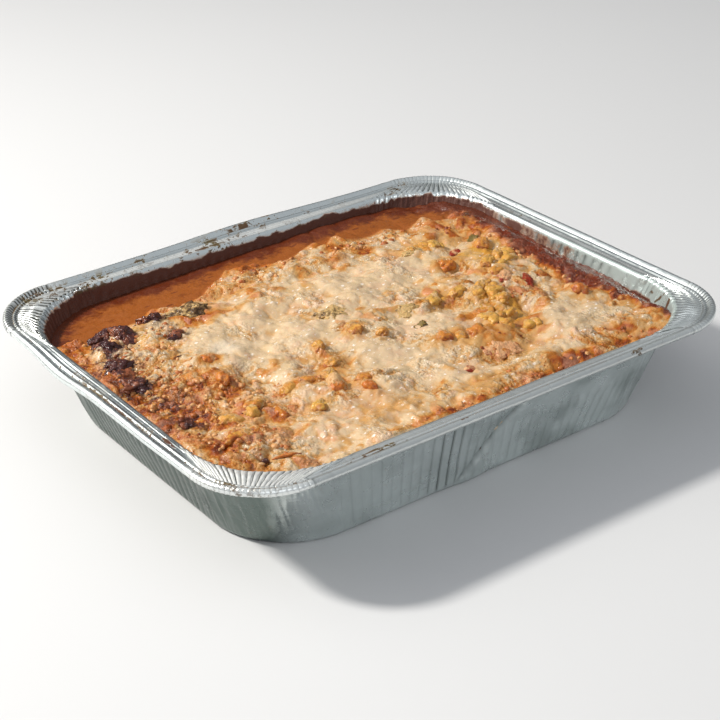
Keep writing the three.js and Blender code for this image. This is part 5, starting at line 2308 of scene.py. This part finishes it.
@dataclass(frozen=True)
class Lamp:
    """Soft light: where it stands, its size, its strength and its colour."""

    name: str
    place: tuple[float, float, float]
    size: float
    power: float
    colour: tuple[float, float, float]
    aim: tuple[float, float, float] = (0, 0, 0.03)

    def build(self) -> None:
        """Make the lamp, aimed at the tray."""
        data = bpy.data.lights.new(self.name, "AREA")
        data.shape = "DISK"
        data.size = self.size
        data.energy = self.power
        data.color = self.colour
        lamp = bpy.data.objects.new(self.name, data)
        lamp.location = self.place
        aim = Vector(self.aim) - Vector(self.place)
        lamp.rotation_euler = aim.to_track_quat("-Z", "Y").to_euler()
        bpy.context.scene.collection.objects.link(lamp)


@dataclass(frozen=True)
class Studio:
    """Pale floor, soft sky and lamps, the main one from the back left as in the photograph."""

    floor_size: float = 6.0
    floor: tuple = tone(214, 214, 214)
    zenith: tuple = tone(222, 226, 232)
    near_horizon: tuple = tone(206, 209, 214)
    far_horizon: tuple = tone(88, 87, 88)
    bright: tuple = (2.8, 2.75, 2.65, 1.0)
    window: tuple[float, float, float] = (-0.45, 0.72, 0.53)
    window_edge: tuple[float, float] = (0.86, 0.97)
    horizon_span: tuple[float, float] = (-0.4, 0.3)
    sky_span: tuple[float, float] = (0.2, 0.95)
    sky_strength: float = 0.62
    lamps: tuple[Lamp, ...] = (
        Lamp("key", (-0.95, 0.72, 1.12), 0.18, 30.0, (1.0, 0.97, 0.92)),
        Lamp("fill", (-0.5, -1.5, 1.1), 1.4, 5.5, (0.95, 0.97, 1.0)),
    )

    def build(self) -> None:
        """Make the floor, the sky and the lamps."""
        shape = Shape()
        half = self.floor_size / 2 / MM
        square = [[-half, -half, 0], [half, -half, 0], [half, half, 0], [-half, half, 0]]
        shape.add(square, [[0, 1, 2, 3]])
        graph, shader = new_material("floor")
        cloud = graph.cloud(graph.place(), 2.0, Detail=2.0)
        graph.feed_all(shader, Base_Color=self.floor,
                       Roughness=graph.plus(0.7, graph.times(cloud, 0.2)))
        floor = shape.build("floor", graph.material)
        world = bpy.data.worlds.new("sky")
        bpy.context.scene.world = world
        world.use_nodes = True
        graph = Graph(world.node_tree)
        facing = graph.add("ShaderNodeTexCoord").outputs["Generated"]
        axes = graph.add("ShaderNodeSeparateXYZ", Vector=facing).outputs
        behind = graph.band(axes[1], *self.horizon_span)
        horizon = graph.mix(behind, self.near_horizon, self.far_horizon)
        colour = graph.mix(graph.band(axes[2], *self.sky_span), horizon, self.zenith)
        toward = graph.add("ShaderNodeVectorMath", {"operation": "DOT_PRODUCT"})
        graph.feed(toward, 0, facing)
        graph.feed(toward, 1, self.window)
        bright = graph.band(toward.outputs["Value"], *self.window_edge)
        background = world.node_tree.nodes["Background"]
        graph.feed(background, 0, graph.mix(bright, colour, self.bright))
        graph.feed(background, 1, self.sky_strength)
        for lamp in self.lamps:
            lamp.build()
        bpy.context.scene.view_settings.view_transform = "Standard"


def write_sizes() -> None:
    """Bring the scene's placements up to date."""
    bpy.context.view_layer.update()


def main() -> None:
    """Build the tray, the bake and all that lies on it, then the studio."""
    logging.basicConfig(level=logging.INFO, format="%(name)s: %(message)s")
    effects = Effects()
    FoilTray().build(effects)
    bake = Bake()
    bake.build(effects)
    Pasta().build(bake, effects)
    Toppings().build(bake, effects)
    Crumbs().build(bake, effects)
    for stray in STRAYS:
        stray.build(bake, effects)
    Studio().build()
    View().build()
    write_sizes()


if __name__ == "__main__":
    main()
